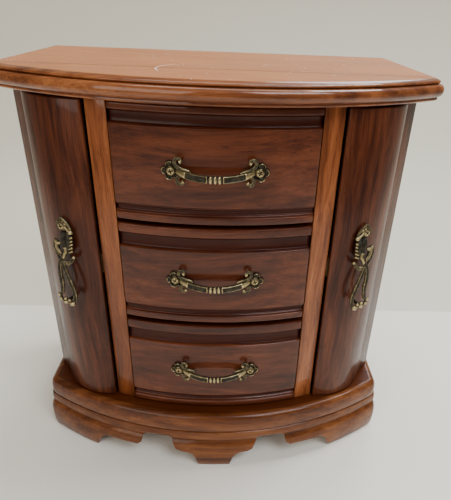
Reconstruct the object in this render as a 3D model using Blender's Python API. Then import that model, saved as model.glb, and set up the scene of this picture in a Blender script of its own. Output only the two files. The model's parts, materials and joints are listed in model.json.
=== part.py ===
"""Tabletop jewelry armoire: a bow-front chest with three drawers between two curved side doors.

Metres, +Z up. The front faces -Y and the object stands on z = 0, centred on the origin. In plan the stiles,
the drawers, the top and the base all follow arcs about one bow centre behind the chest.
"""

import math

import bmesh
import bpy
from mathutils import Vector

MM = 0.001

# Driving dimensions, in millimetres.
OVERALL_HEIGHT = 304.0
BASE_HEIGHT = 54.0
TOP_THICKNESS = 14.0
HALF_DEPTH = 88.0
TOP_HALF_WIDTH = 147.0
BODY_HALF_WIDTH = 137.0
BODY_BACK_Y = 84.3
BOW_CENTRE_Y = 160.5
BOW_RADIUS = 234.0
TOP_BOW_RADIUS = 247.5
BASE_BOW_RADIUS = 248.5
BOARD_BOW_RADIUS = 247.7
BOARD_HALF_WIDTH = 141.5
BOARD_BACK_Y = 86.0
CORNER_RADIUS = 9.0
GAP = 0.3

# Carcass.
BOARD_THICKNESS = 17.0
WALL = 6.0
STILE_INNER_X = 65.5
STILE_OUTER_X = 79.3
STILE_BACK_Y = -52.0
PARTITION_X = 66.0
BACK_PANEL_FRONT_Y = BODY_BACK_Y - WALL
SHELF_THICKNESS = 3.0
FRAME_BOTTOM = BASE_HEIGHT + GAP
FRAME_TOP = OVERALL_HEIGHT - TOP_THICKNESS - GAP

# Drawers, from the lowest to the uppermost: name, foot of the front, its height, then the heights of its
# top ledge and of the cove under that ledge.
DRAWERS = (
    ("lower", 55.5, 78.2, 6.4, 10.8),
    ("middle", 137.0, 74.2, 5.8, 10.8),
    ("upper", 213.8, 74.7, 3.8, 8.8),
)
FRONT_HALF_WIDTH = 64.7
FRONT_BACK_Y = -58.0
FIELD_PROUD = 2.2
DRAWER_BOX_HALF_WIDTH = 64.6
DRAWER_BOX_BACK_Y = 74.0
DRAWER_WALL = 4.0
DRAWER_BOTTOM_THICKNESS = 2.4
LINING_THICKNESS = 1.5
BOX_ABOVE_FRONT_FOOT = 3.0
BOX_BELOW_FRONT_TOP = 8.0

# Doors: the outer face is one arc from the free edge to the pivoting edge, given for the right-hand door.
DOOR_BOTTOM = BASE_HEIGHT + 1.6
DOOR_TOP = OVERALL_HEIGHT - TOP_THICKNESS - 1.8
DOOR_THICKNESS = 7.0
DOOR_FREE_EDGE = (81.0, -62.0)
DOOR_PIVOT_EDGE = (124.3, -38.1)
DOOR_SAGITTA = 7.5
PIVOT_PIN_RADIUS = 1.2
PIVOT_HOLE_RADIUS = 1.6
PIVOT_PIN_REACH = 6.0
PIVOT_HOLE_DEPTH = 8.0
DOOR_HOLE_DEPTH = 7.0

# Pulls and screws.
PULL_SCREW_SPACING = 54.0
PULL_PROJECTION = 10.8
PULL_HEIGHT_SHARE = 0.49
PULL_SAG = 2.4
PULL_BAR_SHORT = 4.2
PULL_BAR_HALF_HEIGHT = 1.9
PULL_BAR_HALF_THICKNESS = 1.6
PULL_BAR_END_STANDOFF = 1.7
ROSETTE_RADIUS = 5.6
ROSETTE_FACE = 2.3
ROSETTE_PETALS = 5
ROSETTE_NOTCH = 0.16
SCREW_SHANK_RADIUS = 1.0
SCREW_HOLE_RADIUS = 1.35
SCREW_LENGTH = 8.0
SCREW_HEAD_RADIUS = 2.3
SCREW_SLOT_HALF_LENGTH = 1.15
SCREW_SLOT_HALF_WIDTH = 0.28
SCREW_SLOT_FLOOR = 0.45
SCROLL_RADIUS = 3.5
SCROLL_RISE = 5.6
SCROLL_LOW = 2.6
SCROLL_LIFT = 2.2
SCROLL_START = 10.5
SCROLL_CENTRE = 6.4
SCROLL_HALF_WIDTH = 1.15
DOOR_PULL_SCREW_Z = 205.0
DOOR_PULL_ANGLE = math.radians(24.5)
DOOR_PULL_DROP = 58.0
DOOR_PULL_STANDOFF = 8.4

# Colour, roughness and metallic of each finish.
FINISHES = {
    "door_wood": ((0.105, 0.024, 0.011), 0.28, 0.0),
    "drawer_wood": ((0.125, 0.030, 0.013), 0.28, 0.0),
    "frame_wood": ((0.255, 0.084, 0.028), 0.32, 0.0),
    "moulding_wood": ((0.235, 0.070, 0.024), 0.30, 0.0),
    "inner_wood": ((0.42, 0.27, 0.14), 0.65, 0.0),
    "antique_brass": ((0.33, 0.26, 0.13), 0.38, 1.0),
    "steel": ((0.55, 0.53, 0.50), 0.35, 1.0),
    "felt": ((0.16, 0.012, 0.020), 0.95, 0.0),
}


def clear_scene():
    """Removes whatever the file opened with."""
    for obj in list(bpy.data.objects):
        bpy.data.objects.remove(obj)


def finish_material(name):
    """The Principled material of one finish, made once."""
    found = bpy.data.materials.get(name)
    if found:
        return found
    colour, roughness, metallic = FINISHES[name]
    material = bpy.data.materials.new(name)
    material.use_nodes = True
    shader = material.node_tree.nodes["Principled BSDF"]
    shader.inputs["Base Color"].default_value = (*colour, 1.0)
    shader.inputs["Roughness"].default_value = roughness
    shader.inputs["Metallic"].default_value = metallic
    return material


def new_object(name, mesh_builder, finish, origin=(0.0, 0.0, 0.0)):
    """An object from a bmesh in millimetres, with its origin at the given point."""
    bmesh.ops.recalc_face_normals(mesh_builder, faces=mesh_builder.faces)
    if mesh_builder.calc_volume(signed=True) < 0:
        bmesh.ops.reverse_faces(mesh_builder, faces=mesh_builder.faces)
    for vertex in mesh_builder.verts:
        vertex.co = (vertex.co - Vector(origin)) * MM
    mesh = bpy.data.meshes.new(name)
    mesh_builder.to_mesh(mesh)
    mesh_builder.free()
    obj = bpy.data.objects.new(name, mesh)
    obj.location = Vector(origin) * MM
    mesh.materials.append(finish_material(finish))
    mesh.shade_smooth()
    mesh.set_sharp_from_angle(angle=math.radians(35))
    bpy.context.scene.collection.objects.link(obj)
    return obj


def loft(rings):
    """A closed solid through rings of points that correspond, with flat caps on the first and last."""
    builder = bmesh.new()
    rows = [[builder.verts.new(point) for point in ring] for ring in rings]
    count = len(rows[0])
    for low, high in zip(rows, rows[1:]):
        for i in range(count):
            j = (i + 1) % count
            builder.faces.new((low[i], low[j], high[j], high[i]))
    builder.faces.new(rows[0])
    builder.faces.new(rows[-1])
    return builder


def prism(outline, low, high):
    """A plan outline of (x, y) points stood up from z = low to z = high."""
    return loft([[(x, y, z) for x, y in outline] for z in (low, high)])


def box(low, high):
    """A block from its lowest corner to its highest."""
    outline = [(low[0], low[1]), (high[0], low[1]), (high[0], high[1]), (low[0], high[1])]
    return prism(outline, low[2], high[2])


def tube(centre, radius, start, end, axis="z", sides=12):
    """A round bar along one axis, from start to end."""
    rings = []
    for along in (start, end):
        ring = []
        for k in range(sides):
            angle = 2 * math.pi * k / sides
            u, v = radius * math.cos(angle), radius * math.sin(angle)
            if axis == "z":
                ring.append((centre[0] + u, centre[1] + v, along))
            else:
                ring.append((along, centre[0] + u, centre[1] + v))
        rings.append(ring)
    return loft(rings)


def arc_points(centre, radius, start, end, steps):
    """Points on a plan arc, by angle in radians."""
    angles = [start + (end - start) * k / steps for k in range(steps + 1)]
    return [(centre[0] + radius * math.cos(a), centre[1] + radius * math.sin(a)) for a in angles]


def bow_y(radius, x):
    """Where the bow arc of this radius passes at this x."""
    return BOW_CENTRE_Y - math.sqrt(radius * radius - x * x)


def mirrored(outline, side):
    """A plan outline for the right-hand side, turned to the side given as +1 or -1."""
    return [(side * x, y) for x, y in outline]


def combine(obj, others, operation):
    """Joins or cuts an object with helper objects by exact Booleans, then removes the helpers."""
    for other in others:
        modifier = obj.modifiers.new(operation.lower(), "BOOLEAN")
        modifier.operation = operation
        modifier.solver = "EXACT"
        modifier.use_self = operation == "UNION"
        modifier.object = other
        other.hide_render = True
        other.display_type = "WIRE"
    graph = bpy.context.evaluated_depsgraph_get()
    merged = bpy.data.meshes.new_from_object(obj.evaluated_get(graph))
    obj.modifiers.clear()
    obj.data = merged
    merged.shade_smooth()
    merged.set_sharp_from_angle(angle=math.radians(35))
    for other in others:
        bpy.data.objects.remove(other)
    return obj


def bow_outline(half_width, radius, back_y, inset, arc_steps=28, corner_steps=4):
    """Plan of a bow-front board: front arc, rounded front corners, straight sides, straight back.

    The inset moves the front and the sides inwards, and leaves the back where it is.
    """
    corner_x = half_width - CORNER_RADIUS
    corner_y = BOW_CENTRE_Y - math.sqrt((radius - CORNER_RADIUS) ** 2 - corner_x**2)
    lean = math.asin(corner_x / (radius - CORNER_RADIUS))
    front = arc_points(
        (0.0, BOW_CENTRE_Y), radius - inset, -math.pi / 2 - lean, -math.pi / 2 + lean, arc_steps
    )
    corner = arc_points(
        (corner_x, corner_y), CORNER_RADIUS - inset, -math.pi / 2 + lean, 0.0, corner_steps
    )[1:]
    right = corner + [(half_width - inset, back_y)]
    left = [(-x, y) for x, y in reversed(right)]
    return front + right + left


def moulded_board(name, half_width, radius, back_y, profile, finish):
    """A bow-front board whose edge follows a profile of (inset, z) points, bottom to top."""
    rings = []
    for inset, z in profile:
        rings.append([(x, y, z) for x, y in bow_outline(half_width, radius, back_y, inset)])
    return new_object(name, loft(rings), finish)


def bow_block(profile, half_width, back_y, stations=18):
    """A block whose front follows the bow: profile points (radius, z) run up the front, then the flat back.

    The stations are planes of constant x, so that both ends are cut square.
    """
    rings = []
    for k in range(stations + 1):
        x = half_width * (2 * k / stations - 1)
        ring = [(x, bow_y(radius, x), z) for radius, z in profile]
        ring += [(x, back_y, profile[-1][1]), (x, back_y, profile[0][1])]
        rings.append(ring)
    return loft(rings)


def swept(points, sizes, across, bend, sides=8):
    """A rounded bar along points (u, n, z) on a bent face, with half-sizes (wide, thick) at each point.

    The wide direction lies square to the path and to the given direction across.
    """
    rings = []
    for k, point in enumerate(points):
        before = Vector(points[max(k - 1, 0)])
        after = Vector(points[min(k + 1, len(points) - 1)])
        along = (after - before).normalized()
        wide = along.cross(Vector(across)).normalized()
        thick = wide.cross(along).normalized()
        ring = []
        for j in range(sides):
            angle = 2 * math.pi * (j + 0.5) / sides
            offset = wide * (sizes[k][0] * math.cos(angle)) + thick * (sizes[k][1] * math.sin(angle))
            ring.append(bend(*(Vector(point) + offset)))
        rings.append(ring)
    return loft(rings)


def boss(centre, radius, low, high, bend, sides=16, petals=0, depth=0.0):
    """A disc on a bent face, from n = low to n = high, with a petalled rim if petals is not 0."""
    rings = []
    for height, scale in ((low, 1.0), (high - 0.4, 1.0), (high, 0.82)):
        ring = []
        for k in range(sides):
            angle = 2 * math.pi * k / sides
            reach = scale * radius * (1.0 - depth * (0.5 + 0.5 * math.cos(petals * angle)))
            u = centre[0] + reach * math.cos(angle)
            z = centre[1] + reach * math.sin(angle)
            ring.append(bend(u, height, z))
        rings.append(ring)
    return loft(rings)


def bend_about(centre, radius, lean=0.0, side=1):
    """A function from (u, n, z) to the point n out from a cylinder, u round it from the given lean."""

    def bend(u, n, z):
        angle = lean + u / radius
        x = centre[0] + (radius + n) * math.sin(angle)
        y = centre[1] - (radius + n) * math.cos(angle)
        return (side * x, y, z)

    return bend


def scroll_path(side, up, start_u, centre_u, base_z, steps=9):
    """A scroll that leaves the bar at start_u, runs outwards and winds back over itself, above or below."""
    points = [(side * start_u, SCROLL_LOW, base_z)]
    for k in range(steps + 1):
        t = k / steps
        angle = math.radians(-75.0 + 275.0 * t)
        reach = SCROLL_RADIUS * (1.0 - 0.5 * t)
        u = side * (centre_u + reach * math.cos(angle))
        z = base_z + up * (SCROLL_RISE + reach * math.sin(angle))
        points.append((u, SCROLL_LOW + SCROLL_LIFT * t, z))
    return points


# ---- carcass ----


def make_top():
    """The top: a fixed slab with a thumbnail edge over a bullnose."""
    top = OVERALL_HEIGHT
    profile = (
        (4.6, top - 14.0),
        (3.5, top - 12.9),
        (3.3, top - 11.7),
        (1.9, top - 11.1),
        (0.5, top - 9.5),
        (0.0, top - 7.2),
        (0.6, top - 5.0),
        (2.0, top - 3.5),
        (3.9, top - 3.0),
        (3.6, top - 2.0),
        (4.3, top - 0.7),
        (6.0, top),
    )
    slab = moulded_board(
        "top_slab", TOP_HALF_WIDTH, TOP_BOW_RADIUS, HALF_DEPTH, profile, "moulding_wood"
    )
    holes = [pivot_hole(side, top=True) for side in (1, -1)]
    return combine(slab, holes, "DIFFERENCE")


def make_base_board():
    """The plinth board: the uppermost of the base's three layers, with a bullnose edge."""
    high = BASE_HEIGHT
    low = BASE_HEIGHT - BOARD_THICKNESS
    profile = (
        (3.6, low),
        (1.6, low + 0.7),
        (0.4, low + 3.0),
        (0.0, low + 7.5),
        (0.3, low + 11.5),
        (1.3, low + 15.0),
        (3.0, high - 0.4),
        (4.2, high),
    )
    board = moulded_board(
        "base_board", BOARD_HALF_WIDTH, BOARD_BOW_RADIUS, BOARD_BACK_Y, profile, "moulding_wood"
    )
    holes = [pivot_hole(side, top=False) for side in (1, -1)]
    return combine(board, holes, "DIFFERENCE")


APRON_TOP = BASE_HEIGHT - BOARD_THICKNESS - GAP
APRON_GROOVE = 26.0
APRON_HALF_WIDTH = 146.5
APRON_THICKNESS = 12.0
APRON_STEP = 17.0
APRON_ARCH = 30.0
APRON_SIDE_FRONT_Y = -30.0
APRON_SIDE_BACK_Y = 73.0
APRON_BACK_Y = 85.5
APRON_BACK_HALF_WIDTH = 144.0
APRON_BACK_FOOT = 26.0
APRON_BACK_SLOPE = 6.0
CUTTER_MARGIN = 20.0

# Lower edge of the front apron, right-hand half, from the centre foot outwards.
FRONT_CUTOUT = (
    (13.0, -1.0),
    (13.4, 3.0),
    (15.0, 9.0),
    (17.6, 13.2),
    (21.0, 15.4),
    (27.5, 16.2),
    (31.4, 18.4),
    (33.6, 23.5),
    (35.4, 28.5),
    (37.6, APRON_ARCH),
    (54.0, APRON_ARCH),
    (58.0, 27.4),
    (60.2, 20.4),
    (63.6, APRON_STEP),
    (91.0, APRON_STEP),
    (95.6, 13.6),
    (98.6, 6.0),
    (101.5, -1.0),
)


def apron_profile():
    """The outer face of the apron as (inset, z): two rounded layers with a groove between them."""
    return (
        (1.8, 0.0),
        (0.5, 4.0),
        (0.0, 12.0),
        (0.2, 20.0),
        (1.6, 24.6),
        (3.4, APRON_GROOVE),
        (2.6, 28.0),
        (2.2, 31.5),
        (2.8, 35.4),
        (4.6, APRON_TOP),
    )


def cutout_prism(points, low_y, high_y):
    """A cutter through the apron along Y, from an outline in x and z."""
    return loft([[(x, y, z) for x, z in points] for y in (low_y, high_y)])


def make_front_apron():
    """The front board of the base, with two rounded layers, corner feet and a centre foot."""
    rings = []
    inner_radius = BASE_BOW_RADIUS - APRON_THICKNESS
    inner_x = APRON_HALF_WIDTH - APRON_THICKNESS
    for inset, z in apron_profile():
        outline = bow_outline(APRON_HALF_WIDTH, BASE_BOW_RADIUS, APRON_SIDE_FRONT_Y, inset)
        right_end = (inner_x, APRON_SIDE_FRONT_Y)
        lean = math.asin(inner_x / inner_radius) - 0.01
        inner = arc_points(
            (0.0, BOW_CENTRE_Y), inner_radius, -math.pi / 2 + lean, -math.pi / 2 - lean, 20
        )
        split = next(i for i, p in enumerate(outline) if p[1] == APRON_SIDE_FRONT_Y and p[0] > 0)
        ring = outline[: split + 1] + [right_end] + inner + [(-inner_x, APRON_SIDE_FRONT_Y)]
        ring += outline[split + 1 :]
        rings.append([(x, y, z) for x, y in ring])
    apron = new_object("apron_front", loft(rings), "moulding_wood")
    cutters = []
    for side in (1, -1):
        outline = [(side * x, z) for x, z in FRONT_CUTOUT]
        prism_through = cutout_prism(outline, -HALF_DEPTH - CUTTER_MARGIN, CUTTER_MARGIN)
        cutters.append(new_object("cutter", prism_through, "moulding_wood"))
    return combine(apron, cutters, "DIFFERENCE")


def make_side_apron(side, name):
    """One side board of the base, between the front apron and the back apron."""
    front, back = APRON_SIDE_FRONT_Y + GAP, APRON_SIDE_BACK_Y
    inner_x = APRON_HALF_WIDTH - APRON_THICKNESS
    rings = []
    for y in (front, back):
        ring = [(side * (APRON_HALF_WIDTH - inset), y, z) for inset, z in apron_profile()]
        ring += [(side * inner_x, y, APRON_TOP), (side * inner_x, y, 0.0)]
        rings.append(ring)
    apron = new_object(name, loft(rings), "moulding_wood")
    arch = (
        (front + 6.0, -1.0),
        (front + 9.0, 10.0),
        (front + 14.0, APRON_STEP),
        (back - 26.0, APRON_STEP),
        (back - 21.0, 10.0),
        (back - 18.0, -1.0),
    )
    through = (inner_x - CUTTER_MARGIN, APRON_HALF_WIDTH + CUTTER_MARGIN)
    cutter_rings = [[(side * x, y, z) for y, z in arch] for x in through]
    cutter = new_object("cutter", loft(cutter_rings), "moulding_wood")
    return combine(apron, [cutter], "DIFFERENCE")


def make_back_apron():
    """The plain back board of the base, arched between its two feet."""
    end = APRON_BACK_HALF_WIDTH
    foot = end - APRON_BACK_FOOT
    arch = foot - APRON_BACK_SLOPE
    outline = (
        (-end, 0.0),
        (-foot, 0.0),
        (-arch, APRON_STEP),
        (arch, APRON_STEP),
        (foot, 0.0),
        (end, 0.0),
        (end, APRON_TOP),
        (-end, APRON_TOP),
    )
    rings = [[(x, y, z) for x, z in outline] for y in (APRON_SIDE_BACK_Y + GAP, APRON_BACK_Y)]
    return new_object("apron_back", loft(rings), "moulding_wood")


def make_stile(side, name):
    """One of the two front stiles, its face on the bow."""
    steps = 4
    front = []
    for k in range(steps + 1):
        x = STILE_INNER_X + (STILE_OUTER_X - STILE_INNER_X) * k / steps
        front.append((x, bow_y(BOW_RADIUS, x)))
    outline = mirrored(front + [(STILE_OUTER_X, STILE_BACK_Y), (STILE_INNER_X, STILE_BACK_Y)], side)
    return new_object(name, prism(outline, FRAME_BOTTOM, FRAME_TOP), "frame_wood")


def make_partition(side, name):
    """The wall between the drawers and one side compartment, standing behind the stile."""
    low = (side * PARTITION_X, STILE_BACK_Y + GAP, FRAME_BOTTOM)
    high = (side * (PARTITION_X + WALL), BACK_PANEL_FRONT_Y - GAP, FRAME_TOP)
    return new_object(name, box(low, high), "inner_wood")


POST_INNER_X = 121.0
POST_INNER_Y = -31.0
POST_BACK_Y = -12.0
POST_NEAR_PIVOT = (125.3, -33.4)
POST_ROUNDING = 3.1
POST_ROUNDING_Y = -17.7


def make_post(side, name):
    """The fixed post behind a door: its slanted face runs from beside the pivot to the outer corner."""
    centre = (BODY_HALF_WIDTH - POST_ROUNDING, POST_ROUNDING_Y)
    rounding = arc_points(centre, POST_ROUNDING, -math.radians(40), 0.0, 3)
    outline = [POST_NEAR_PIVOT] + rounding
    outline += [(BODY_HALF_WIDTH, POST_BACK_Y), (POST_INNER_X, POST_BACK_Y), (POST_INNER_X, POST_INNER_Y)]
    return new_object(name, prism(mirrored(outline, side), FRAME_BOTTOM, FRAME_TOP), "door_wood")


def make_side_panel(side, name):
    """The flat outer side, from the post to the back panel."""
    low = (side * (BODY_HALF_WIDTH - WALL), POST_BACK_Y + GAP, FRAME_BOTTOM)
    high = (side * BODY_HALF_WIDTH, BACK_PANEL_FRONT_Y - GAP, FRAME_TOP)
    return new_object(name, box(low, high), "door_wood")


def make_back_panel():
    """The flat back, between the base board and the top."""
    low = (-BODY_HALF_WIDTH, BACK_PANEL_FRONT_Y, FRAME_BOTTOM)
    high = (BODY_HALF_WIDTH, BODY_BACK_Y, FRAME_TOP)
    return new_object("back_panel", box(low, high), "door_wood")


def make_shelf(name, drawer_foot):
    """A thin dust shelf that carries the drawer whose front has this foot height."""
    top = drawer_foot + BOX_ABOVE_FRONT_FOOT - GAP
    low = (-PARTITION_X + GAP, STILE_BACK_Y + GAP, top - SHELF_THICKNESS)
    high = (PARTITION_X - GAP, BACK_PANEL_FRONT_Y - GAP, top)
    return new_object(name, box(low, high), "inner_wood")


BAR_Y = 18.0
BAR_Z = 272.0
BAR_RADIUS = 1.7
HOOK_COUNT = 4
HOOK_DROP = 8.0
HOOK_BEND = 3.2
HOOK_NECK = 5.0
HOOK_TIP = 5.5


def make_necklace_bar(side, name):
    """A brass bar with hooks under the ceiling of a side compartment."""
    start, end = PARTITION_X + WALL + GAP, BODY_HALF_WIDTH - WALL - GAP
    rod = tube((BAR_Y, BAR_Z), BAR_RADIUS, side * start, side * end, axis="x")
    bar = new_object(name, rod, "antique_brass")
    hooks = []
    for k in range(HOOK_COUNT):
        x = side * (start + (end - start) * (k + 1) / (HOOK_COUNT + 1))
        path = [(x, BAR_Y, BAR_Z), (x, BAR_Y, BAR_Z - HOOK_NECK)]
        for j in range(9):
            angle = math.pi * j / 8
            y = BAR_Y - HOOK_BEND * (1 - math.cos(angle))
            path.append((x, y, BAR_Z - HOOK_DROP - HOOK_BEND * math.sin(angle)))
        path.append((x, BAR_Y - 2 * HOOK_BEND, BAR_Z - HOOK_TIP))
        sizes = [(1.0, 1.0)] * len(path)
        hook = swept(path, sizes, (1.0, 0.0, 0.0), lambda u, n, z: (u, n, z), sides=6)
        hooks.append(new_object("helper", hook, "antique_brass"))
    return combine(bar, hooks, "UNION")


# ---- doors ----


def door_geometry():
    """The right door's outer arc (centre, radius, start and end angles) and its pivot."""
    free, rear = Vector(DOOR_FREE_EDGE), Vector(DOOR_PIVOT_EDGE)
    chord = rear - free
    radius = chord.length**2 / (8 * DOOR_SAGITTA) + DOOR_SAGITTA / 2
    outward = Vector((chord.y, -chord.x)).normalized()
    centre = (free + rear) / 2 - outward * (radius - DOOR_SAGITTA)
    start = math.atan2(free.y - centre.y, free.x - centre.x)
    end = math.atan2(rear.y - centre.y, rear.x - centre.x)
    middle = radius - DOOR_THICKNESS / 2
    pivot = (centre.x + middle * math.cos(end), centre.y + middle * math.sin(end))
    return (centre.x, centre.y), radius, start, end, pivot


DOOR_CENTRE, DOOR_RADIUS, DOOR_START, DOOR_END, DOOR_PIVOT = door_geometry()


def pivot_hole(side, top):
    """A cutter for the pin's hole in the top or in the base board."""
    face = OVERALL_HEIGHT - TOP_THICKNESS if top else BASE_HEIGHT
    low, high = (face - 2.0, face + PIVOT_HOLE_DEPTH) if top else (face - PIVOT_HOLE_DEPTH, face + 2.0)
    centre = (side * DOOR_PIVOT[0], DOOR_PIVOT[1])
    return new_object("cutter", tube(centre, PIVOT_HOLE_RADIUS, low, high), "steel")


def door_hole(side, top):
    """A cutter for the pin's hole in the door's own edge."""
    face = DOOR_TOP if top else DOOR_BOTTOM
    low, high = (face - DOOR_HOLE_DEPTH, face + 2.0) if top else (face - 2.0, face + DOOR_HOLE_DEPTH)
    centre = (side * DOOR_PIVOT[0], DOOR_PIVOT[1])
    return new_object("cutter", tube(centre, PIVOT_HOLE_RADIUS, low, high), "steel")


def make_door(side, name):
    """A bent door of even thickness, rounded about its pivot at the rear edge."""
    outer = arc_points(DOOR_CENTRE, DOOR_RADIUS, DOOR_START, DOOR_END, 16)
    cap = arc_points(DOOR_PIVOT, DOOR_THICKNESS / 2, DOOR_END, DOOR_END + math.pi, 8)[1:-1]
    inner = arc_points(DOOR_CENTRE, DOOR_RADIUS - DOOR_THICKNESS, DOOR_END, DOOR_START, 16)
    outline = mirrored(outer + cap + inner, side)
    pivot = (side * DOOR_PIVOT[0], DOOR_PIVOT[1], 0.0)
    door = new_object(name, prism(outline, DOOR_BOTTOM, DOOR_TOP), "door_wood", pivot)
    cutters = [door_hole(side, top=True), door_hole(side, top=False)]
    bend = bend_about(DOOR_CENTRE, DOOR_RADIUS, DOOR_PULL_ANGLE, side)
    cutters.append(screw_hole((0.0, DOOR_PULL_SCREW_Z), bend, -5.5, 3.0))
    return combine(door, cutters, "DIFFERENCE")


def make_pivot_pin(side, top, name):
    """A steel pin fixed in the top or the base board, on which a door turns."""
    face = (OVERALL_HEIGHT - TOP_THICKNESS) if top else BASE_HEIGHT
    low, high = (face - PIVOT_PIN_REACH, face + PIVOT_PIN_REACH)
    centre = (side * DOOR_PIVOT[0], DOOR_PIVOT[1])
    return new_object(name, tube(centre, PIVOT_PIN_RADIUS, low, high), "steel")


CATCH_Z = 172.0
CATCH_OUTER_X = 91.0
CATCH_HALF_HEIGHT = 8.0
CATCH_BACK_Y = STILE_BACK_Y + 8.0
STRIKE_RADIUS = 4.2
STRIKE_ANGLE = math.radians(7.5)


def make_catch(side, name):
    """A catch block on the partition, behind the door's free edge."""
    low = (side * (PARTITION_X + WALL + GAP), STILE_BACK_Y + 0.4, CATCH_Z - CATCH_HALF_HEIGHT)
    high = (side * CATCH_OUTER_X, CATCH_BACK_Y, CATCH_Z + CATCH_HALF_HEIGHT)
    return new_object(name, box(low, high), "inner_wood")


def make_strike(side, name):
    """The small steel plate on the inside of the door that the magnet holds."""
    bend = bend_about(DOOR_CENTRE, DOOR_RADIUS - DOOR_THICKNESS, strike_lean(), side)
    plate = boss((0.0, CATCH_Z), STRIKE_RADIUS, -1.5, -0.5, bend)
    return new_object(name, plate, "steel", (side * DOOR_PIVOT[0], DOOR_PIVOT[1], 0.0))


def strike_lean():
    """The angle round the door at which the strike plate sits, near the free edge."""
    return DOOR_START + math.pi / 2 + STRIKE_ANGLE


# ---- screws and pulls ----


def screw_hole(centre, bend, low, high):
    """A cutter for a screw's clearance hole, square to a bent face."""
    cutter = boss(centre, SCREW_HOLE_RADIUS, low, high, bend, sides=8)
    return new_object("cutter", cutter, "steel")


def make_screw(name, centre, bend, seat, origin):
    """A cross-head screw: a shank into the wood and a domed head whose underside is at n = seat."""
    rings = []
    outline = (
        (SCREW_SHANK_RADIUS * 0.5, seat - SCREW_LENGTH),
        (SCREW_SHANK_RADIUS, seat - SCREW_LENGTH + 1.2),
        (SCREW_SHANK_RADIUS, seat),
        (SCREW_HEAD_RADIUS, seat),
        (SCREW_HEAD_RADIUS * 0.93, seat + 0.5),
        (SCREW_HEAD_RADIUS * 0.6, seat + 0.95),
    )
    for radius, height in outline:
        ring = []
        for k in range(10):
            angle = 2 * math.pi * k / 10
            u = centre[0] + radius * math.cos(angle)
            z = centre[1] + radius * math.sin(angle)
            ring.append(bend(u, height, z))
        rings.append(ring)
    screw = new_object(name, loft(rings), "steel", origin)
    cutters = []
    long, short = SCREW_SLOT_HALF_LENGTH, SCREW_SLOT_HALF_WIDTH
    for long_u, long_z in ((long, short), (short, long)):
        corners = ((-1, -1), (1, -1), (1, 1), (-1, 1))
        slot = []
        for height in (seat + SCREW_SLOT_FLOOR, seat + 1.6):
            row = [(centre[0] + a * long_u, centre[1] + b * long_z) for a, b in corners]
            slot.append([bend(u, height, z) for u, z in row])
        cutters.append(new_object("cutter", loft(slot), "steel"))
    return combine(screw, cutters, "DIFFERENCE")


def drawer_bend():
    """Bends a pull round the raised field of a drawer front."""
    return bend_about((0.0, BOW_CENTRE_Y), BOW_RADIUS + FIELD_PROUD)


def make_drawer_pull(name, centre_z):
    """A cast bow pull: a bar that arches out and dips between two rosettes, with scrolls at each end."""
    bend = drawer_bend()
    half = PULL_SCREW_SPACING / 2
    steps = 20
    path, sizes = [], []
    for k in range(steps + 1):
        t = 2 * k / steps - 1
        u = (half - PULL_BAR_SHORT) * t
        rise = (1 - t * t) ** 0.7
        height = PULL_BAR_END_STANDOFF + (PULL_PROJECTION - 2 * PULL_BAR_END_STANDOFF) * rise
        z = centre_z - PULL_SAG * (1 - t * t)
        path.append((u, height, z))
        sizes.append((PULL_BAR_HALF_HEIGHT, PULL_BAR_HALF_THICKNESS))
    bar = new_object(name, swept(path, sizes, (0.0, 1.0, 0.0), bend), "antique_brass")
    helpers = []
    for side in (-1, 1):
        centre = (side * half, centre_z)
        rosette = boss(
            centre, ROSETTE_RADIUS, GAP, ROSETTE_FACE, bend, 20, ROSETTE_PETALS, ROSETTE_NOTCH
        )
        helpers.append(new_object("helper", rosette, "antique_brass"))
        for up in (-1, 1):
            path = scroll_path(side, up, half - SCROLL_START, half - SCROLL_CENTRE, centre_z)
            path_sizes = [(SCROLL_HALF_WIDTH, SCROLL_HALF_WIDTH)] * (len(path) - 1) + [(0.8, 0.8)]
            piece = swept(path, path_sizes, (0.0, 1.0, 0.0), bend, sides=6)
            helpers.append(new_object("helper", piece, "antique_brass"))
    pull = combine(bar, helpers, "UNION")
    holes = [screw_hole((side * half, centre_z), bend, -0.5, 5.0) for side in (-1, 1)]
    return combine(pull, holes, "DIFFERENCE")


# Strokes of the door pull: points (u, drop below the screw), then half-width. Positive u is to the rear
# edge. First the leaf tip, then the stem with the outer strand, the inner leaf, and the outer leaf with the
# inner strand.
DOOR_PULL_STROKES = (
    (((0.0, -3.0), (-0.2, -4.8), (-0.2, -6.4)), 1.6),
    (
        (
            (0.0, 3.0),
            (-0.4, 7.4),
            (-2.4, 12.0),
            (-2.8, 17.0),
            (-1.2, 21.8),
            (1.0, 26.0),
            (1.4, 31.0),
            (0.7, 38.0),
            (0.9, 45.0),
            (2.9, 51.0),
            (4.2, 55.2),
            (0.0, DOOR_PULL_DROP),
        ),
        1.35,
    ),
    (
        (
            (-0.4, 6.0),
            (-4.8, 6.6),
            (-7.0, 10.6),
            (-7.2, 16.0),
            (-6.6, 20.6),
            (-4.0, 23.6),
            (0.4, 24.6),
        ),
        1.3,
    ),
    (
        (
            (-2.6, 12.0),
            (1.6, 11.2),
            (5.2, 11.4),
            (6.0, 14.6),
            (4.2, 19.2),
            (1.0, 24.0),
            (-2.6, 29.6),
            (-4.9, 36.0),
            (-6.3, 43.0),
            (-6.5, 49.5),
            (-5.2, 55.4),
            (-0.5, DOOR_PULL_DROP + 0.3),
        ),
        1.35,
    ),
)
DOOR_PULL_KNOBS = (-5.2, 0.0, 4.4)
DOOR_PULL_KNOB_RADIUS = 2.1
DOOR_PULL_PLATE_RADIUS = 4.6


def door_pull_height(drop):
    """How far out the middle of the door pull stands at this drop below its screw."""
    share = min(max(drop / DOOR_PULL_DROP, 0.0), 1.0)
    return 1.6 + (DOOR_PULL_STANDOFF - 1.6) * math.sin(0.5 * math.pi * share)


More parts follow.
